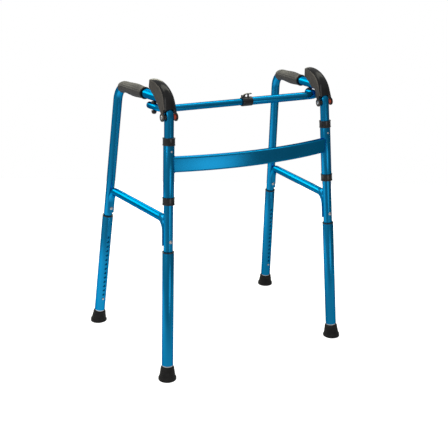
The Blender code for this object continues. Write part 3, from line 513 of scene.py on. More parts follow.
def hole_tree():
    """A row of round cutters up Z, each lying along X."""
    tree, given, result = grower("hole_row", {
        "Count": "Int", "Pitch": "Float", "Radius": "Float", "Depth": "Float", "Reach": "Float"})
    step = add(tree, "ShaderNodeCombineXYZ", {"Z": given["Pitch"]})
    start = add(tree, "ShaderNodeCombineXYZ", {"X": given["Reach"]})
    row = add(tree, "GeometryNodeMeshLine",
              {"Count": given["Count"], "Start Location": start, "Offset": step})
    drill = add(tree, "GeometryNodeMeshCylinder",
                {"Vertices": SMALL_SIDES, "Radius": given["Radius"], "Depth": given["Depth"]})
    copies = add(tree, "GeometryNodeInstanceOnPoints",
                 {"Points": row, "Instance": drill, "Rotation": (0.0, pi / 2, 0.0)})
    return close_tree(tree, given, result, copies)


def bead_tree():
    """A weld: flattened drops that overlap along a path, a little uneven from a seed."""
    tree, given, result = grower("weld_bead", {"Pitch": "Float", "Radius": "Float", "Seed": "Int"})
    line = add(tree, "GeometryNodeMeshToCurve", {"Mesh": given["Geometry"]})
    spaced = add(tree, "GeometryNodeCurveToPoints",
                 {"Curve": line, "Length": given["Pitch"]}, mode="LENGTH")
    drop = add(tree, "GeometryNodeMeshIcoSphere", {"Radius": given["Radius"], "Subdivisions": 3})
    uneven = add(tree, "FunctionNodeRandomValue",
                 {2: 0.85, 3: 1.1, "Seed": given["Seed"]}).outputs[1]
    size = add(tree, "ShaderNodeCombineXYZ", {"X": uneven, "Y": uneven, "Z": 0.62})
    copies = add(tree, "GeometryNodeInstanceOnPoints",
                 {"Points": spaced, "Instance": drop, "Rotation": spaced.outputs["Rotation"],
                  "Scale": size})
    return close_tree(tree, given, result, copies)


# Steps in a tree, which each finds from the source it's given
def place_of(tree):
    return add(tree, "ShaderNodeTexCoord").outputs["Object"]


def scaled(place, scale):
    return add(place, "ShaderNodeMapping", {"Vector": place, "Scale": scale})


def noise(place, scale, detail, roughness):
    return add(place, "ShaderNodeTexNoise", {
        "Vector": place, "Scale": scale, "Detail": detail, "Roughness": roughness})


def spread(value, low, high, to_low=0.0, to_high=1.0):
    return add(value, "ShaderNodeMapRange", {
        "Value": value, "From Min": low, "From Max": high, "To Min": to_low, "To Max": to_high})


def maths(operation, result, *others):
    for other in others:
        result = add(result, "ShaderNodeMath", {0: result, 1: other}, operation=operation)
    return result


def mixed(share, first, second):
    sources = {0: share, 6: first, 7: second}
    return add(first, "ShaderNodeMix", sources, data_type="RGBA").outputs[2]


# Shader groups, each shared by several materials
def drawn_metal_group():
    """Drawing lines along a tube, handling smudges and small scuffs, for metals."""
    tree, given, result = new_tree("ShaderNodeTree", "drawn_metal", {
        "Colour": "Color", "Deep Colour": "Color", "Roughness": "Float", "Smudge": "Float",
        "Scuff": "Float", "Line Scale": "Vector"}, EFFECT)
    place = place_of(tree)
    lines = noise(scaled(place, given["Line Scale"]), 1.0, 4.0, 0.6)
    clouds = noise(place, 9.0, 4.0, 0.55)
    fine = noise(place, 260.0, 3.0, 0.6)
    scuffs = spread(noise(scaled(place, (120.0, 120.0, 45.0)), 1.0, 6.0, 0.72), 0.66, 0.74)
    worn = maths("MULTIPLY", scuffs, given["Scuff"])
    colour = mixed(spread(clouds, 0.35, 0.68), given["Deep Colour"], given["Colour"])
    pale = mixed(0.35, given["Colour"], (0.75, 0.8, 0.84, 1.0))
    smudged = maths("MULTIPLY", spread(clouds, 0.3, 0.7, -0.5, 0.5), given["Smudge"])
    feed(result, {
        "Colour": mixed(worn, colour, pale),
        "Roughness": maths("ADD", given["Roughness"], smudged, maths("MULTIPLY", worn, 0.25),
                           spread(lines, 0.3, 0.7, -0.01, 0.01)),
        "Height": maths("MULTIPLY", maths("ADD", lines, fine), 0.5)})
    return tree


def moulded_group():
    """Moulded plastic or rubber: fine grain, soft colour drift, and dust in patches."""
    tree, given, result = new_tree("ShaderNodeTree", "moulded", {
        "Colour": "Color", "Dust Colour": "Color", "Grain Scale": "Float", "Roughness": "Float",
        "Dust": "Float"}, EFFECT)
    place = place_of(tree)
    grain = add(tree, "ShaderNodeTexVoronoi", {"Vector": place, "Scale": given["Grain Scale"]})
    drift = noise(place, 22.0, 4.0, 0.6)
    patches = spread(noise(place, 60.0, 6.0, 0.7), 0.48, 0.72)
    dusty = maths("MULTIPLY", patches, given["Dust"])
    darker = mixed(0.55, given["Colour"], BLACK_RGBA)
    colour = mixed(spread(drift, 0.35, 0.65, 0.45, 1.0), darker, given["Colour"])
    feed(result, {
        "Colour": mixed(dusty, colour, given["Dust Colour"]),
        "Roughness": maths("ADD", given["Roughness"], spread(drift, 0.3, 0.7, -0.06, 0.06),
                           maths("MULTIPLY", dusty, 0.5)),
        "Height": grain})
    return tree


EFFECT = {"Colour": "Color", "Roughness": "Float", "Height": "Float"}
BLACK_RGBA = (0.0, 0.0, 0.0, 1.0)
WHITE = (1.0, 1.0, 1.0)
WHITE_RGBA = (*WHITE, 1.0)
DRAWN_METAL = drawn_metal_group()
MOULDED = moulded_group()
LINES_ALONG = 9.0
LINES_ACROSS = 900.0
FAINT = (0.06, 0.0001)
DUST = (0.16, 0.15, 0.14)


def material_from(name, group, values, bump, metallic=0.0, specular=0.5, edge=WHITE):
    """A Principled material fed by one shared group. bump is a strength and a distance."""
    material = bpy.data.materials.new(name)
    material.use_nodes = True
    tree = material.node_tree
    effect = add(tree, "ShaderNodeGroup", values, node_tree=group).outputs
    relief = add(tree, "ShaderNodeBump", {
        "Strength": bump[0], "Distance": bump[1], "Height": effect["Height"]})
    feed(tree.nodes["Principled BSDF"], {
        "Metallic": metallic, "Specular IOR Level": specular, "Specular Tint": (*edge, 1.0),
        "Base Color": effect["Colour"], "Roughness": effect["Roughness"], "Normal": relief})
    return material


def metal(name, colour, deep, roughness, smudge, scuff, bump=FAINT, along=2, **looks):
    """Drawn metal, whose lines run along one axis."""
    lines = [LINES_ALONG if axis == along else LINES_ACROSS for axis in range(3)]
    values = {"Colour": (*colour, 1.0), "Deep Colour": (*deep, 1.0), "Roughness": roughness,
              "Smudge": smudge, "Scuff": scuff, "Line Scale": lines}
    return material_from(name, DRAWN_METAL, values, bump, metallic=1.0, **looks)


def moulding(name, colour, grain, roughness, dust, bump=FAINT, dust_colour=DUST, **looks):
    values = {"Colour": (*colour, 1.0), "Dust Colour": (*dust_colour, 1.0), "Grain Scale": grain,
              "Roughness": roughness, "Dust": dust}
    return material_from(name, MOULDED, values, bump, **looks)


PALE_DUST = (0.2, 0.18, 0.16)
BLUE_TONES = ((0.014, 0.34, 0.685), (0.009, 0.298, 0.625), 0.25, 0.05, 0.03, (0.02, 0.0001))
BLUE_EDGE = (0.08, 0.32, 0.48)
BLUE = metal("blue_anodised", *BLUE_TONES, edge=BLUE_EDGE)
BLUE_ACROSS = metal("blue_anodised_crossbar", *BLUE_TONES, edge=BLUE_EDGE, along=0)
STEEL = metal("bright_steel", (0.78, 0.78, 0.78), (0.62, 0.62, 0.63), 0.24, 0.1, 0.2)
BLACK = moulding("black_plastic", (0.009, 0.009, 0.01), 1500.0, 0.2, 0.03, specular=0.7)
RUBBER = moulding("foot_rubber", (0.011, 0.0105, 0.01), 1100.0, 0.6, 0.08, (0.25, 0.0002),
                  specular=0.25)
VINYL = moulding("grip_vinyl", (0.056, 0.053, 0.051), 1300.0, 0.52, 0.04, (0.1, 0.0001),
                 (0.2, 0.185, 0.17))
FLANGE = moulding("grip_flange", (0.012, 0.012, 0.012), 1300.0, 0.45, 0.04, (0.15, 0.0002),
                  specular=0.3)
CROWN = moulding("paddle_crown", (0.012, 0.012, 0.013), 1200.0, 0.2, 0.03, specular=0.3)
FLANK = moulding("paddle_flank", (0.06, 0.052, 0.045), 900.0, 0.55, 0.16, (0.3, 0.0002),
                 PALE_DUST)
# The ridge colour is lighter than the flank's: a painted highlight along the paddle's edge.
RIDGE_HIGHLIGHT = moulding("paddle_ridge", (0.11, 0.096, 0.082), 900.0, 0.5, 0.1, (0.2, 0.0002),
                 PALE_DUST)
ORANGE = moulding("orange_plastic", (0.6, 0.075, 0.03), 1400.0, 0.4, 0.08,
                  (0.1, 0.0001), (0.45, 0.2, 0.12))


# Finished pieces
def finish(name, bm, body, *materials, replaces=True, crease=32):
    """Sets a mesh on its body, in place of the node of its name."""
    obj = object_from(bm, "fine_" + name if replaces else name)
    for material in materials:
        obj.data.materials.append(material)
    obj.data.shade_smooth()
    obj.data.set_sharp_from_angle(angle=radians(crease))
    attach(obj, body)
    if replaces:
        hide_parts(name)
    return obj


def mirror_copy(bm):
    other = bm.copy()
    for vertex in other.verts:
        vertex.co.x = -vertex.co.x
    bmesh.ops.reverse_faces(other, faces=other.faces)
    return other


def pair(name, bm, body, *materials, **options):
    """The same piece on both sides. {} in the body's name stands for right or left."""
    meshes = {"right": bm, "left": mirror_copy(bm)}
    return [finish(name + "_" + side, mesh, body.format(side), *materials, **options)
            for side, mesh in meshes.items()]


TUBE = tube_tree()
HOLES = hole_tree()
BEAD = bead_tree()


def tube(points, radius, wall):
    """A drawn tube along a path, its rims a little rounded."""
    bm = grown(TUBE, path_object(points), radius=radius, wall=wall, material=BLUE)
    bevelled(bm, EASE * 0.7, 60, segments=2)
    return outward(bm)


def radial_holes(frame_of, count, pitch, reach, depth):
    """A row of cutters up a leg from its button, centred a distance from its axis."""
    bm = grown(HOLES, path_object([Vector((0, 0, 0))]), count=count, pitch=pitch,
               radius=HOLE_RADIUS, depth=depth, reach=reach, material=BLUE)
    bm.transform(frame_of(BUTTON_HEIGHT))
    return bm


# Side frame tubes
SIDE_PATH = rounded_path(
    [front_leg(TUBE_END_HEIGHT), front_leg(HANDLE_HEIGHT), rear_leg(HANDLE_HEIGHT),
     rear_leg(TUBE_END_HEIGHT)], (FRONT_BEND_RADIUS, REAR_BEND_RADIUS))


def side_tube():
    holes = [radial_holes(frame_of, 1, HOLE_PITCH, TUBE_RADIUS, 2 * TUBE_RADIUS)
             for frame_of in (front_frame, rear_frame)]
    return cut(tube(SIDE_PATH, TUBE_RADIUS, TUBE_WALL), *holes)


def leg_extension(frame_of):
    pitch = HOLE_PITCH / on_axis(frame_of)[1]
    holes = radial_holes(frame_of, HOLE_COUNT, pitch, EXTENSION_RADIUS, 4 * EXTENSION_WALL)
    ends = [frame_of(height).translation for height in (EXTENSION_BOTTOM, EXTENSION_TOP)]
    return cut(tube(ends, EXTENSION_RADIUS, EXTENSION_WALL), holes)


def extension_bush(frame_of):
    base, rise = on_axis(frame_of)
    top = EXTENSION_TOP / rise + GAP
    low = top - BUSH_DEPTH
    high = top + BUSH_LIP_HEIGHT
    return turned(walls((EXTENSION_BORE - GAP, low, top),
                        (EXTENSION_RADIUS + BUSH_LIP_PROUD, top, high),
                        (TUBE_RADIUS + RUNNING_GAP, high, low)), base)


def foot_ferrule(frame_of):
    base, rise = on_axis(frame_of)
    low = TIP_FLOOR_THICKNESS / rise + GAP
    band = TIP_TOP_HEIGHT / rise + GAP
    seat = EXTENSION_BOTTOM / rise - GAP
    profile = walls((FERRULE_STEM_RADIUS, low, band), (FERRULE_BAND_RADIUS, band, seat),
                    (EXTENSION_BORE - GAP, seat, seat + FERRULE_PLUG_LENGTH))
    return turned(profile, base, closed=False)


def foot_tip(frame_of):
    """The flared rubber tip with shallow rings round its skirt, cut level at the floor."""
    base, rise = on_axis(frame_of)
    top = TIP_TOP_HEIGHT / rise
    low = TIP_FLARE_HEIGHT
    shoulder = top - TIP_SHOULDER_DROP
    slope = (TIP_SHOULDER_RADIUS - TIP_WAIST_RADIUS) / (shoulder - low)
    skirt = []
    for k in range(TIP_RINGS):
        height = low + (top - 0.006 - low) * (k + 0.6) / TIP_RINGS
        radius = TIP_WAIST_RADIUS + slope * (height - low)
        skirt += [(radius - depth, height + along) for depth, along in TIP_RING]
    bore = FERRULE_STEM_RADIUS + GAP
    profile = [(TIP_BASE_RADIUS, -TIP_BASE_RADIUS * 0.4), (TIP_BASE_RADIUS, low * 0.6),
               (TIP_WAIST_RADIUS, low), *skirt, (TIP_SHOULDER_RADIUS, shoulder),
               (TIP_MOUTH_RADIUS, top), (bore, top), (bore, TIP_FLOOR_THICKNESS / rise)]
    deep = CUTTER_REACH
    floor = block(Matrix.Translation(base.translation), (-deep, -deep, -deep), (deep, deep, 0.0))
    return cut(turned(profile, base, closed=False), floor)


def dome(radius, seat, height):
    return [(radius * cos(radians(a)), seat + height * sin(radians(a))) for a in DOME_TURNS]


def spring_button(frame_of):
    matrix = frame_of(BUTTON_HEIGHT)
    leaf_out = sqrt((TUBE_RADIUS - TUBE_WALL) ** 2 - (LEAF_WIDTH / 2) ** 2) - 2 * GAP
    leaf_in = leaf_out - LEAF_THICKNESS
    height = BUTTON_RADIUS * 0.55
    crown = dome(BUTTON_RADIUS, EXTENSION_RADIUS + BUTTON_PROUD - height, height)
    cap = turned([(BUTTON_RADIUS, leaf_in), *crown], matrix @ TURN_TO_X, SMALL_SIDES,
                 closed=False, ease=SMALL_EASE)
    leaf = block(matrix, (leaf_in, -LEAF_WIDTH / 2, -0.28 * LEAF_LENGTH),
                 (leaf_out, LEAF_WIDTH / 2, 0.72 * LEAF_LENGTH))
    return joined(cap, leaf)


def collar(bottom):
    base, rise = on_axis(front_frame)
    low = bottom / rise
    high = (bottom + COLLAR_HEIGHT) / rise
    waist = (low + COLLAR_SHOULDER, high - COLLAR_SHOULDER)
    return turned(walls((COLLAR_RADIUS, low, waist[0]), (COLLAR_RADIUS - COLLAR_STEP, *waist),
                        (COLLAR_RADIUS, waist[1], high), (TUBE_RADIUS + GAP, high, low)), base)


def hinge_sleeve():
    return tube([front_leg(SLEEVE_BOTTOM), front_leg(SLEEVE_TOP)], SLEEVE_RADIUS, SLEEVE_WALL)


def rivet(shank, start, seat, head, matrix, ease=SMALL_EASE, tail=()):
    """A rivet from its tail, or its plain end, up to a domed head."""
    profile = [*tail, (shank, start), (shank, seat), *dome(head, seat, RIVET_HEAD_HEIGHT)]
    return turned(profile, matrix, SMALL_SIDES, closed=False, ease=ease)


def sleeve_rivet():
    matrix = front_frame(SLEEVE_RIVET_HEIGHT) @ Matrix.Rotation(-pi / 2, 4, "Y")
    return rivet(SLEEVE_RIVET_RADIUS * 0.6, SLEEVE_RADIUS - SLEEVE_WALL + GAP,
                 SLEEVE_RADIUS + GAP, SLEEVE_RIVET_RADIUS, matrix)


def brace_rivet(frame_of):
    leg = TUBE_RADIUS + GAP
    flat = leg + BRACE_FLAT_THICK + GAP
    to_front, head_seat, tail_seat = (-1, leg, flat) if frame_of is front_frame else (1, flat, leg)
    matrix = frame_of(BRACE_RIVET_HEIGHT) @ Matrix.Rotation(to_front * pi / 2, 4, "Y")
    head = RIVET_HEAD_RADIUS
    tail = ((head * 0.8, -tail_seat - RIVET_HEAD_HEIGHT * 0.6), (head * 0.95, -tail_seat))
    return rivet(BRACE_RIVET_RADIUS, -tail_seat, head_seat, head, matrix, 0.0002, tail)


def ramp(value, start, length):
    """Rises from 0 to 1 over a length."""
    return max(0.0, min(1.0, (value - start) / length))


def side_brace(steps=14):
    """A bent tube whose ends are squeezed flat against the legs."""
    off = TUBE_RADIUS + GAP + BRACE_FLAT_THICK / 2
    places = [frame_of(height) for frame_of, height in (
        (front_frame, BRACE_END_HEIGHT), (front_frame, BRACE_HEIGHT),
        (rear_frame, BRACE_HEIGHT), (rear_frame, BRACE_END_HEIGHT))]
    corners = [place.translation + place.col[0].to_3d() * off for place in places]
    bent = rounded_path(corners, (BRACE_BEND_RADIUS,) * 2)
    low = [bent[0].lerp(bent[1], k / steps) for k in range(steps)]
    high = [bent[-2].lerp(bent[-1], (k + 1) / steps) for k in range(steps)]
    points = low + bent[1:-1] + high
    flat_top = BRACE_HEIGHT - BRACE_BEND_RADIUS * 1.5
    round_from = BRACE_HEIGHT - BRACE_BEND_RADIUS * 0.35
    sections = []
    for point in points:
        share = ramp(point.z, flat_top, round_from - flat_top)
        share = share * share * (3 - 2 * share)
        half_thick, half_wide = (flat / 2 + (BRACE_RADIUS - flat / 2) * share
                                 for flat in (BRACE_FLAT_THICK, BRACE_FLAT_WIDE))
        sections.append([(half_thick * a, half_wide * b) for a, b in circle(1.0, 40)])
    legs = [rod(TUBE_RADIUS + GAP, -CUTTER_REACH, CUTTER_REACH, place, TURNED_SIDES)
            for place in places[1:3]]
    return cut(swept(points, sections, SIDE_NORMAL), *legs)


def grip_sections(points):
    """A flange at the front, a swelling fluted palm rest, and a plain rounded rear end."""
    total = sum((b - a).length for a, b in zip(points, points[1:]))
    spokes = circle(1.0, GRIP_FLUTES * 6)
    travelled = 0.0
    sections = []
    for i, point in enumerate(points):
        if i:
            travelled += (point - points[i - 1]).length
        left = total - travelled
        radius = GRIP_RADIUS + GRIP_SWELL * sin(pi * min(1.0, travelled / total * 1.25)) ** 2
        if travelled < GRIP_FLANGE_LENGTH:
            edge = min(travelled, GRIP_FLANGE_LENGTH - travelled)
            radius = GRIP_FLANGE_RADIUS - max(0.0, GRIP_FLANGE_BEVEL - edge) * 0.8
        radius -= max(0.0, GRIP_END_BEVEL - left) * 0.8
        fluted = ramp(travelled, GRIP_FLANGE_LENGTH + 0.004, 0.006) * ramp(left, 0.012, 0.008)
        groove = GRIP_FLUTE_DEPTH * fluted
        reaches = [radius - groove * (0.5 - 0.5 * cos(k * pi / 3)) for k in range(len(spokes))]
        sections.append([(reach * a, reach * b) for reach, (a, b) in zip(reaches, spokes)])
    return sections


def hand_grip(steps=60):
    """The grip on the handle, from its front flange round the rear bend."""
    bend = [p for p in SIDE_PATH if rest_y(GRIP_FRONT) < p.y < rest_y(GRIP_REAR)
            and p.z > HANDLE_HEIGHT - 2 * TUBE_RADIUS]
    first = side_point(GRIP_FRONT, HANDLE_HEIGHT)
    points = [first.lerp(bend[0], k / steps) for k in range(steps)] + bend
    flesh = swept(points, grip_sections(points), SIDE_NORMAL)
    ahead = (points[1] - first).normalized() * 0.01
    behind = (bend[-1] - bend[-2]).normalized() * 0.01
    bore = [first - ahead, *points, bend[-1] + behind]
    round_bore = repeat(circle(TUBE_RADIUS + GAP, TURNED_SIDES))
    return cut(flesh, swept(bore, round_bore, SIDE_NORMAL))


# Palm paddle
def paddle_station(progress):
    angle = EDGE_START + (pi / 2 - EDGE_START) * progress
    edge = Vector(EDGE_CENTRE) + Vector((-EDGE_REACH * cos(angle), EDGE_RISE * sin(angle)))
    out = Vector((-cos(angle) / EDGE_REACH, sin(angle) / EDGE_RISE)).normalized()
    depth = CROWN_DEPTH_REAR + (CROWN_DEPTH_FRONT - CROWN_DEPTH_REAR) * cos(angle)
    swing = FOOT_BULGE * sin(pi * (1 - cos(angle)))
    foot = Vector(FOOT_START).lerp(Vector(FOOT_REAR), 1 - cos(angle)) + Vector((0, swing))
    return foot, edge, edge + out * depth, sin(pi / 2 * progress)


def paddle_ring(foot, edge, crown, rear_share, shrink, arc=28):
    """One section of the skin: flat flanks and the arched crown between them."""
    half_foot = PADDLE_HALF_FRONT + (PADDLE_HALF_REAR - PADDLE_HALF_FRONT) * rear_share - shrink
    half_edge = half_foot - PADDLE_DRAFT
    rise = (crown - edge).normalized()
    top = crown - rise * shrink
    low = edge - rise * shrink * 0.4
    flank = [(foot.lerp(low, k / 5), half_foot - PADDLE_DRAFT * k / 5) for k in range(5)]
    arch = []
    for i in range(arc + 1):
        angle = CROWN_SWEEP * (1 - 2 * i / arc)
        share = (cos(angle) - cos(CROWN_SWEEP)) / (1 - cos(CROWN_SWEEP))
        arch.append((low.lerp(top, share), half_edge * sin(angle) / sin(CROWN_SWEEP)))
    far = [(place, -half) for place, half in reversed(flank)]
    return [PADDLE_FRAME @ Vector((place.x, half, place.y)) for place, half in flank + arch + far]


def paddle_stations(lead=8, steps=36):
    """The sections of the lip, then those along the arch."""
    lip = [Vector(p) for p in (LIP_FOOT, LIP_EDGE, LIP_CROWN)]
    first = paddle_station(0)
    stations = [[a.lerp(b, k / lead) for a, b in zip(lip, first)] + [0.0] for k in range(lead)]
    return stations + [paddle_station(k / steps) for k in range(steps + 1)]


def bar_points(inner_end_x, stub=BAR_STUB_RIGHT):
    reach = (front_leg(BAR_HEIGHT).y + BAR_BEHIND_LEG - PIN_FOOT.y) / PLANE_BACK.y
    corner = PIN_FOOT + PLANE_BACK * reach
    inner = Vector((inner_end_x, corner.y, corner.z))
    return rounded_path([PIN_FOOT + PLANE_BACK * stub, corner, inner], (BAR_BEND_RADIUS,))


def bar_relief():
    """The room that the upper bar needs when the paddle is pressed down."""
    section = circle(BAR_RIGHT_RADIUS + PADDLE_RELIEF, TURNED_SIDES)
    room = swept(bar_points(0), repeat(section), UP)
    pressed = Matrix.Rotation(-PADDLE_TRAVEL, 4, "Y")
    room.transform(PADDLE_FRAME @ pressed @ PADDLE_FRAME.inverted())
    return room


def palm_paddle():
    bm = bmesh.new()
    outer, inner = ([[bm.verts.new(p) for p in paddle_ring(*s, wall)] for s in paddle_stations()]
                    for wall in (0.0, PADDLE_WALL))
    for rings in (outer, inner):
        for first, second in zip(rings, rings[1:]):
            strip(bm, first, second)
    for end in (0, -1):
        strip(bm, outer[end], inner[end])
        strip(bm, [ring[end] for ring in outer], [ring[end] for ring in inner])
    outward(bm)
    bevelled(bm, EASE, 24)
    ears = [rod(EAR_RADIUS, sign * EAR_INNER, sign * EAR_OUTER, PADDLE_FRAME @ TURN_TO_Y,
                TURNED_SIDES) for sign in (-1, 1)]
    return cut(joined(bm, *ears), bar_relief())


def split_paddle(obj):
    """Gives the arched crown its gloss, and the ridge a lighter colour that is a painted
    highlight. The flanks stay matt.
    """
    to_frame = PADDLE_FRAME.inverted()
    if obj.name.endswith("left"):
        to_frame = to_frame @ Matrix.Diagonal((-1, 1, 1, 1))
    for face in obj.data.polygons:
        side = abs((to_frame.to_3x3() @ face.normal).y)
        # Faces along the upper ridge take the lighter colour, a painted highlight.
        ridge = side > 0.86 and (to_frame @ face.center).z > 0.02
        face.material_index = 0 if side > 0.97 else 2 if ridge else 1


def darken_flange(obj):
    """Paints the grip's front flange darker than its palm rest."""
    behind = rest_y(GRIP_FRONT) + GRIP_FLANGE_LENGTH
    for face in obj.data.polygons:
        face.material_index = int(face.center.y < behind)


def paddle_pin():
    seat = EAR_OUTER + GAP
    tail = dome(RIVET_HEAD_RADIUS, -seat, -RIVET_HEAD_HEIGHT)[::-1]
    return rivet(PADDLE_PIN_RADIUS, -seat, seat, RIVET_HEAD_RADIUS, PADDLE_FRAME @ TURN_TO_Y,
                 tail=tail)


def pivot_bush(sign):
    near = TUBE_RADIUS * 0.55
    far = EAR_INNER - GAP
    bush = turned(walls((PIVOT_BUSH_RADIUS, near, far), (PADDLE_PIN_RADIUS + GAP, far, near)),
                  PADDLE_FRAME @ Matrix.Rotation(-pi / 2 * sign, 4, "X"))
    path = [front_leg(PADDLE_PIN_HEIGHT - 0.04)]
    path += [p for p in SIDE_PATH if p.z > PADDLE_PIN_HEIGHT - 0.05 and p.y < rest_y(0.2)]
    return cut(bush, swept(path, repeat(circle(TUBE_RADIUS + GAP)), SIDE_NORMAL))


# Upper bar, its pivots, collar and lever
BAR_MOUTH_X = BAR_COLLAR_X - BAR_COLLAR_LENGTH / 2 + COLLAR_MOUTH + GAP


def bar_frame(x):
    return frame_at(Vector((x, bar_points(0)[-1].y, PIN_FOOT.z)), Vector((1, 0, 0)), UP)


LEVER_FRAME = bar_frame(BAR_COLLAR_X - BAR_COLLAR_LENGTH / 2 + LEVER_PIN_INSET)
LEVER_FRAME = LEVER_FRAME @ Matrix.Translation((BAR_COLLAR_RADIUS + LEVER_PIN_LIFT, 0, 0))
LEVER_TURN = LEVER_FRAME @ TURN_TO_Y


def nib_block(clearance):
    bottom = BAR_LEFT_RADIUS + RUNNING_GAP - BAR_COLLAR_RADIUS - LEVER_PIN_LIFT - clearance
    half = NIB_WIDTH / 2 + clearance
    return block(LEVER_FRAME, (bottom, -half, NIB_REACH - NIB_LENGTH / 2 - clearance),
                 (LEVER_ARCH, half, NIB_REACH + NIB_LENGTH / 2 + 2.5 * clearance))


def pivot_spacer(radius):
    low = radius * 0.7
    high = HANDLE_ABOVE_BAR - TUBE_RADIUS - GAP - SPACER_RADIUS * FRONT_LEAN_BACK
    bush = turned(walls((SPACER_RADIUS, low, high), (PIN_RADIUS + GAP, high, low)), PIN_FRAME)
    return cut(bush, swept(bar_points(0)[:2], repeat(circle(radius + GAP)), UP))


def pivot_pin(radius, drop):
    """A pin with a blunt domed foot, up into the handle."""
    seat = -radius - GAP - DOME_RADIUS * FRONT_LEAN_BACK
    top = HANDLE_ABOVE_BAR - TUBE_RADIUS + PIN_INTO_HANDLE
    blunt = [(DOME_RADIUS * (0.35 + 0.65 * sin(a)), seat - drop * (0.25 + 0.75 * cos(a)))
             for a in map(radians, range(0, 91, 15))]
    return turned([*blunt, (DOME_RADIUS, seat), (PIN_RADIUS, seat), (PIN_RADIUS, top)],
                  PIN_FRAME, 36, closed=False)


def bar_collar():
    half = BAR_COLLAR_LENGTH / 2
    step = -half + COLLAR_MOUTH
    ring = turned(walls((BAR_COLLAR_RADIUS, -half, half), (BAR_RIGHT_RADIUS + GAP, half, step),
                        (BAR_LEFT_RADIUS + RUNNING_GAP, step, -half)),
                  bar_frame(BAR_COLLAR_X), ease=0.001)
    rest = LEVER_WIDTH / 2 + GAP
    lugs = [block(LEVER_FRAME, (-LEVER_PIN_LIFT - LUG_SUNK, near, -LUG_HALF),
                  (2.2 * LEVER_PIN_RADIUS, near + LUG_WALL, LUG_HALF), ease=0.0004)
            for near in (-rest - LUG_WALL, rest)]
    seat = rod(LEVER_EYE_RADIUS + RUNNING_GAP, -rest, rest, LEVER_TURN)
    return cut(joined(ring, *lugs), seat, nib_block(RUNNING_GAP))


def smooth_path(knots, steps=6):
    """A curve through all its knots."""
    points = []
    for before, start, end, after in zip(knots[:1] + knots, knots, knots[1:],
                                         knots[2:] + knots[-1:]):
        for k in range(steps):
            t = k / steps
            curve = 2 * start + (end - before) * t
            curve += (2 * before - 5 * start + 4 * end - after) * t ** 2
            curve += (3 * start - before - 3 * end + after) * t ** 3
            points.append(curve / 2)
    return [*points, knots[-1]]


def lock_lever():
    """The arched arm with its eye, its finger tab turned up and its nib pointing down."""
    half = LEVER_WIDTH / 2
    thick = LEVER_THICK / 2
    knots = [Vector((LEVER_ARCH * up, 0, LEVER_REACH * along)) for up, along in LEVER_KNOTS]
    spine = [LEVER_FRAME @ p for p in smooth_path(knots)]
    outline = eased([(-thick, -half), (thick, -half), (thick, half), (-thick, half)], 0.0006)
    arm = swept(spine, repeat(outline), LEVER_FRAME.col[1].to_3d())
    eye = rod(LEVER_EYE_RADIUS, -half, half, LEVER_TURN)
    tip = rod(LEVER_THICK * 0.62, -half, half,
              LEVER_FRAME @ Matrix.Translation(knots[-1]) @ TURN_TO_Y)
    return joined(arm, eye, tip, nib_block(0.0))


def lever_pin():
    reach = LEVER_WIDTH / 2 + GAP + LUG_WALL + 0.0005
    return rod(LEVER_PIN_RADIUS, -reach, reach, LEVER_TURN)


# Bowed crossbar and its welds
def crossbar_outline(grow=0.0, arc=7):
    """An upright rectangle with round corners."""
    radius = CROSSBAR_CORNER_RADIUS + grow
    flat_across = CROSSBAR_THICK / 2 - CROSSBAR_CORNER_RADIUS
    flat_up = CROSSBAR_TALL / 2 - CROSSBAR_CORNER_RADIUS
    outline = []
    for quarter, (across, up) in enumerate(((1, 1), (-1, 1), (-1, -1), (1, -1))):
        for i in range(arc + 1):
            angle = pi / 2 * (quarter + i / arc)
            outline.append((across * flat_across + radius * cos(angle),
                            up * flat_up + radius * sin(angle)))
    return outline


def lower_crossbar(stations=61):
    end = front_leg(CROSSBAR_HEIGHT)
    points = []
    for k in range(stations):
        x = (end.x - SLEEVE_RADIUS + 0.006) * (2 * k / (stations - 1) - 1)
        y = end.y - CROSSBAR_BOW * (1 - (x / end.x) ** 2)
        points.append(Vector((x, y, CROSSBAR_HEIGHT + CROSSBAR_LIFT)))
    bar = swept(points, repeat(crossbar_outline()), UP)
    cope = rod(SLEEVE_RADIUS + GAP, -CUTTER_REACH, CUTTER_REACH, front_frame(CROSSBAR_HEIGHT),
               TURNED_SIDES)
    return cut(bar, cope, mirror_copy(cope))


def weld_bead():
    """The weld on the line where the crossbar meets the sleeve."""
    matrix = front_frame(CROSSBAR_HEIGHT)
    inverse = matrix.inverted()
    end = front_leg(CROSSBAR_HEIGHT)
    along = Vector((1.0, 2 * CROSSBAR_BOW / end.x, 0.0)).normalized()
    across = Vector((-along.y, along.x, 0.0))
    way = inverse.to_3x3() @ -along
    flat_way = way.to_2d()
    line = []
    for beside, up in crossbar_outline(grow=WELD_PROUD):
        start = inverse @ (end + across * beside + Vector((0, 0, up + CROSSBAR_LIFT)))
        flat_start = start.to_2d()
        half_b = flat_start.dot(flat_way)
        beyond = flat_start.length_squared - (SLEEVE_RADIUS + GAP) ** 2
        root = sqrt(max(0.0, half_b ** 2 - flat_way.length_squared * beyond))
        line.append(matrix @ (start + way * (root - half_b) / flat_way.length_squared))
    return grown(BEAD, path_object(line, closed=True), pitch=WELD_PITCH, radius=WELD_RADIUS,
                 seed=WELD_SEED, material=BLUE)


# Dressing the frame
for name, bm, material, body in (
        ("side_tube", side_tube(), BLUE, "side_{}"),
        ("collar_upper", collar(SLEEVE_TOP + GAP), BLACK, "side_{}"),
        ("collar_lower", collar(SLEEVE_BOTTOM - GAP - COLLAR_HEIGHT), BLACK, "side_{}"),
        ("side_brace", side_brace(), BLUE, "side_{}"),
        ("paddle_pin", paddle_pin(), STEEL, "side_{}"),
        ("hinge_sleeve", hinge_sleeve(), BLUE, "front_frame"),
        ("sleeve_rivet", sleeve_rivet(), STEEL, "front_frame")):
    pair(name, bm, body, material)

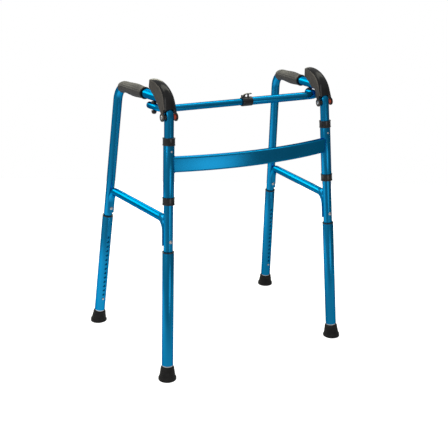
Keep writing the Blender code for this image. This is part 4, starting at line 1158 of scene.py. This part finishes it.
for place, sign, orange_side in (("outer", -1, "right"), ("inner", 1, "left")):
    bush = pivot_bush(sign)
    for side, bm in (("right", bush), ("left", mirror_copy(bush))):
        finish("pivot_bush_" + place + "_" + side, bm, "side_" + side,
               ORANGE if side == orange_side else BLACK)

for grip in pair("hand_grip", hand_grip(), "side_{}", VINYL, FLANGE):
    darken_flange(grip)
pair("weld_bead", weld_bead(), "front_frame", BLUE, replaces=False, crease=60)
finish("lower_crossbar", lower_crossbar(), "front_frame", BLUE_ACROSS)
for paddle in pair("palm_paddle", palm_paddle(), "paddle_{}", FLANK, CROWN, RIDGE_HIGHLIGHT):
    split_paddle(paddle)

for leg, frame_of in (("front", front_frame), ("rear", rear_frame)):
    extension = "extension_" + leg + "_{}"
    for name, bm, material, body in (
            ("leg_extension_", leg_extension(frame_of), BLUE, extension),
            ("extension_bush_", extension_bush(frame_of), BLACK, extension),
            ("foot_ferrule_", foot_ferrule(frame_of), STEEL, extension),
            ("foot_tip_", foot_tip(frame_of), RUBBER, extension),
            ("spring_button_", spring_button(frame_of), STEEL, "button_" + leg + "_{}"),
            ("brace_rivet_", brace_rivet(frame_of), STEEL, "side_{}")):
        pair(name + leg, bm, body, material)

for side, radius, drop, stub, inner_x in (
        ("right", BAR_RIGHT_RADIUS, DOME_RIGHT, BAR_STUB_RIGHT, BAR_MOUTH_X),
        ("left", BAR_LEFT_RADIUS, DOME_LEFT, BAR_STUB_LEFT, -BAR_MOUTH_X - BAR_INSERTION)):
    bar = tube(bar_points(inner_x, stub), radius, BAR_WALL)
    if side == "right":
        bar = cut(bar, nib_block(RUNNING_GAP))
    for name, bm, material in (
            ("upper_bar_", bar, BLUE_ACROSS),
            ("pivot_spacer_", pivot_spacer(radius), BLACK),
            ("pivot_pin_", pivot_pin(radius, drop), BLACK)):
        if side == "left":
            bm = mirror_copy(bm)
        finish(name + side, bm, "bar_" + side, material)

finish("bar_collar", bar_collar(), "bar_right", BLACK)
finish("lever_pin", lever_pin(), "bar_right", STEEL)
finish("lock_lever", lock_lever(), "lever", BLACK)


# Camera, floor, surround and lights
CAMERA_AZIMUTH = -0.5219
CAMERA_PITCH = 0.3374
CAMERA_ROLL = 0.0161
CAMERA_PLACE = (-1.1405, -2.01265, 1.1537)
FOCAL_PIXELS = 810.5
PICTURE_SIDE = 448
AHEAD = (-sin(CAMERA_AZIMUTH), cos(CAMERA_AZIMUTH), 0.0)
RIGHT = (cos(CAMERA_AZIMUTH), sin(CAMERA_AZIMUTH), 0.0)
FLOOR_HALF_WIDTH = 1.3
FLOOR_NEAR = -0.9
FLOOR_FAR = 1.6
PAPER_LIFT = 0.72
PAPER_GREY = (0.7, 0.7, 0.7, 1.0)
# Name, place, aim, width and height, watts and colour
LIGHTS = (
    ("top_light", (0.2, 0.3, 2.7), (0.2, 0.0, 0.4), (3.4, 0.85), 20.0, (1.0, 0.99, 0.86)),
    ("left_light", (-2.8, -1.2, 1.9), (0.0, 0.0, 0.4), (1.0, 1.6), 7.5, WHITE),
    ("back_light", (-0.45, 2.9, 1.85), (-0.45, 0.0, 0.6), (4.5, 0.95), 38.0, (1.0, 0.98, 0.78)),
    ("front_panel", (0.2, -2.5, -0.1), (0.0, 0.0, 0.5), (1.45, 1.0), 3.0, WHITE),
    ("front_strip", (0.25, -2.4, -0.1), (0.0, 0.0, 0.5), (0.6, 0.9), 0.6, WHITE))


def photo_camera():
    lens = bpy.data.cameras.new("photo_camera")
    lens.lens = FOCAL_PIXELS / PICTURE_SIDE * lens.sensor_width
    obj = placed("photo_camera", lens)
    matrix = Matrix.Translation(CAMERA_PLACE)
    for angle, axis in ((CAMERA_AZIMUTH, "Z"), (pi / 2 - CAMERA_PITCH, "X"), (CAMERA_ROLL, "Z")):
        matrix = matrix @ Matrix.Rotation(angle, 4, axis)
    obj.matrix_world = matrix
    bpy.context.scene.camera = obj


def add_seen(tree):
    """1 for the rays that show the background, and 1 for those that metal sends on."""
    path = add(tree, "ShaderNodeLightPath").outputs
    return maths("ADD", path["Is Camera Ray"], path["Is Transmission Ray"]), path["Is Glossy Ray"]


def measured(place, direction):
    """How far a place lies that way."""
    return add(place, "ShaderNodeVectorMath", {0: place, 1: direction},
               operation="DOT_PRODUCT").outputs["Value"]


def blend(share, first, second):
    """Mixes two numbers."""
    return add(share, "ShaderNodeMix", {0: share, 2: first, 3: second})


def paper_material():
    """Paper lifted to white where it is seen, so that the object's shadow stays on it."""
    material = bpy.data.materials.new("studio_paper")
    material.use_nodes = True
    tree = material.node_tree
    tree.nodes.clear()
    seen, glossy = add_seen(tree)
    matt = add(tree, "ShaderNodeBsdfDiffuse", {"Color": PAPER_GREY})
    lift = maths("MULTIPLY", seen, PAPER_LIFT)
    glow = add(tree, "ShaderNodeEmission", {"Color": WHITE_RGBA, "Strength": lift})
    plain = add(tree, "ShaderNodeAddShader", {0: matt, 1: glow})
    ahead = measured(place_of(tree), AHEAD)
    right = measured(place_of(tree), RIGHT)
    mirrored = maths("MULTIPLY", spread(ahead, -0.9, -0.3, 0.26, 0.88),
                     spread(ahead, 0.4, 1.1, 1.0, 0.3), spread(right, -0.6, 0.2, 1.12, 0.5))
    mirror = add(tree, "ShaderNodeEmission", {"Color": WHITE_RGBA, "Strength": mirrored})
    both = add(tree, "ShaderNodeMixShader", {0: glossy, 1: plain, 2: mirror})
    add(tree, "ShaderNodeOutputMaterial", {"Surface": both})
    return material


def studio_floor():
    """White paper turned to face the camera, with the surround behind it."""
    bm = bmesh.new()
    turn = Matrix.Rotation(CAMERA_AZIMUTH, 4, "Z")
    bm.faces.new([bm.verts.new(turn @ Vector((x * FLOOR_HALF_WIDTH, y, 0.0))) for x, y in (
        (-1, FLOOR_NEAR), (1, FLOOR_NEAR), (1, FLOOR_FAR), (-1, FLOOR_FAR))])
    obj = object_from(bm, "studio_floor")
    obj.data.materials.append(paper_material())


def studio_world():
    """A surround that metal sees darker low down and to the camera's right."""
    world = bpy.data.worlds.new("studio")
    world.use_nodes = True
    tree = world.node_tree
    seen, glossy = add_seen(tree)
    place = add(tree, "ShaderNodeTexCoord").outputs["Generated"]
    up = measured(place, UP)
    low = spread(measured(place, RIGHT), -0.8, 0.8, 0.38, 0.17)
    mirrored = blend(spread(up, 0.3, 0.75), low, 0.45)
    matt = spread(up, -0.3, 0.3, 0.32, 0.76)
    strength = blend(seen, blend(glossy, matt, mirrored), 1.0)
    feed(tree.nodes["Background"], {"Color": WHITE_RGBA, "Strength": strength})
    bpy.context.scene.world = world


def soft_light(name, place, aim, size, power, colour):
    light = bpy.data.lights.new(name, "AREA")
    light.shape = "RECTANGLE"
    light.size, light.size_y = size
    light.energy = power
    light.color = colour
    obj = placed(name, light)
    obj.location = place
    obj.rotation_euler = (Vector(aim) - Vector(place)).to_track_quat("-Z", "Y").to_euler()


photo_camera()
studio_floor()
studio_world()
for light in LIGHTS:
    soft_light(*light)
bpy.context.scene.view_settings.view_transform = "Standard"
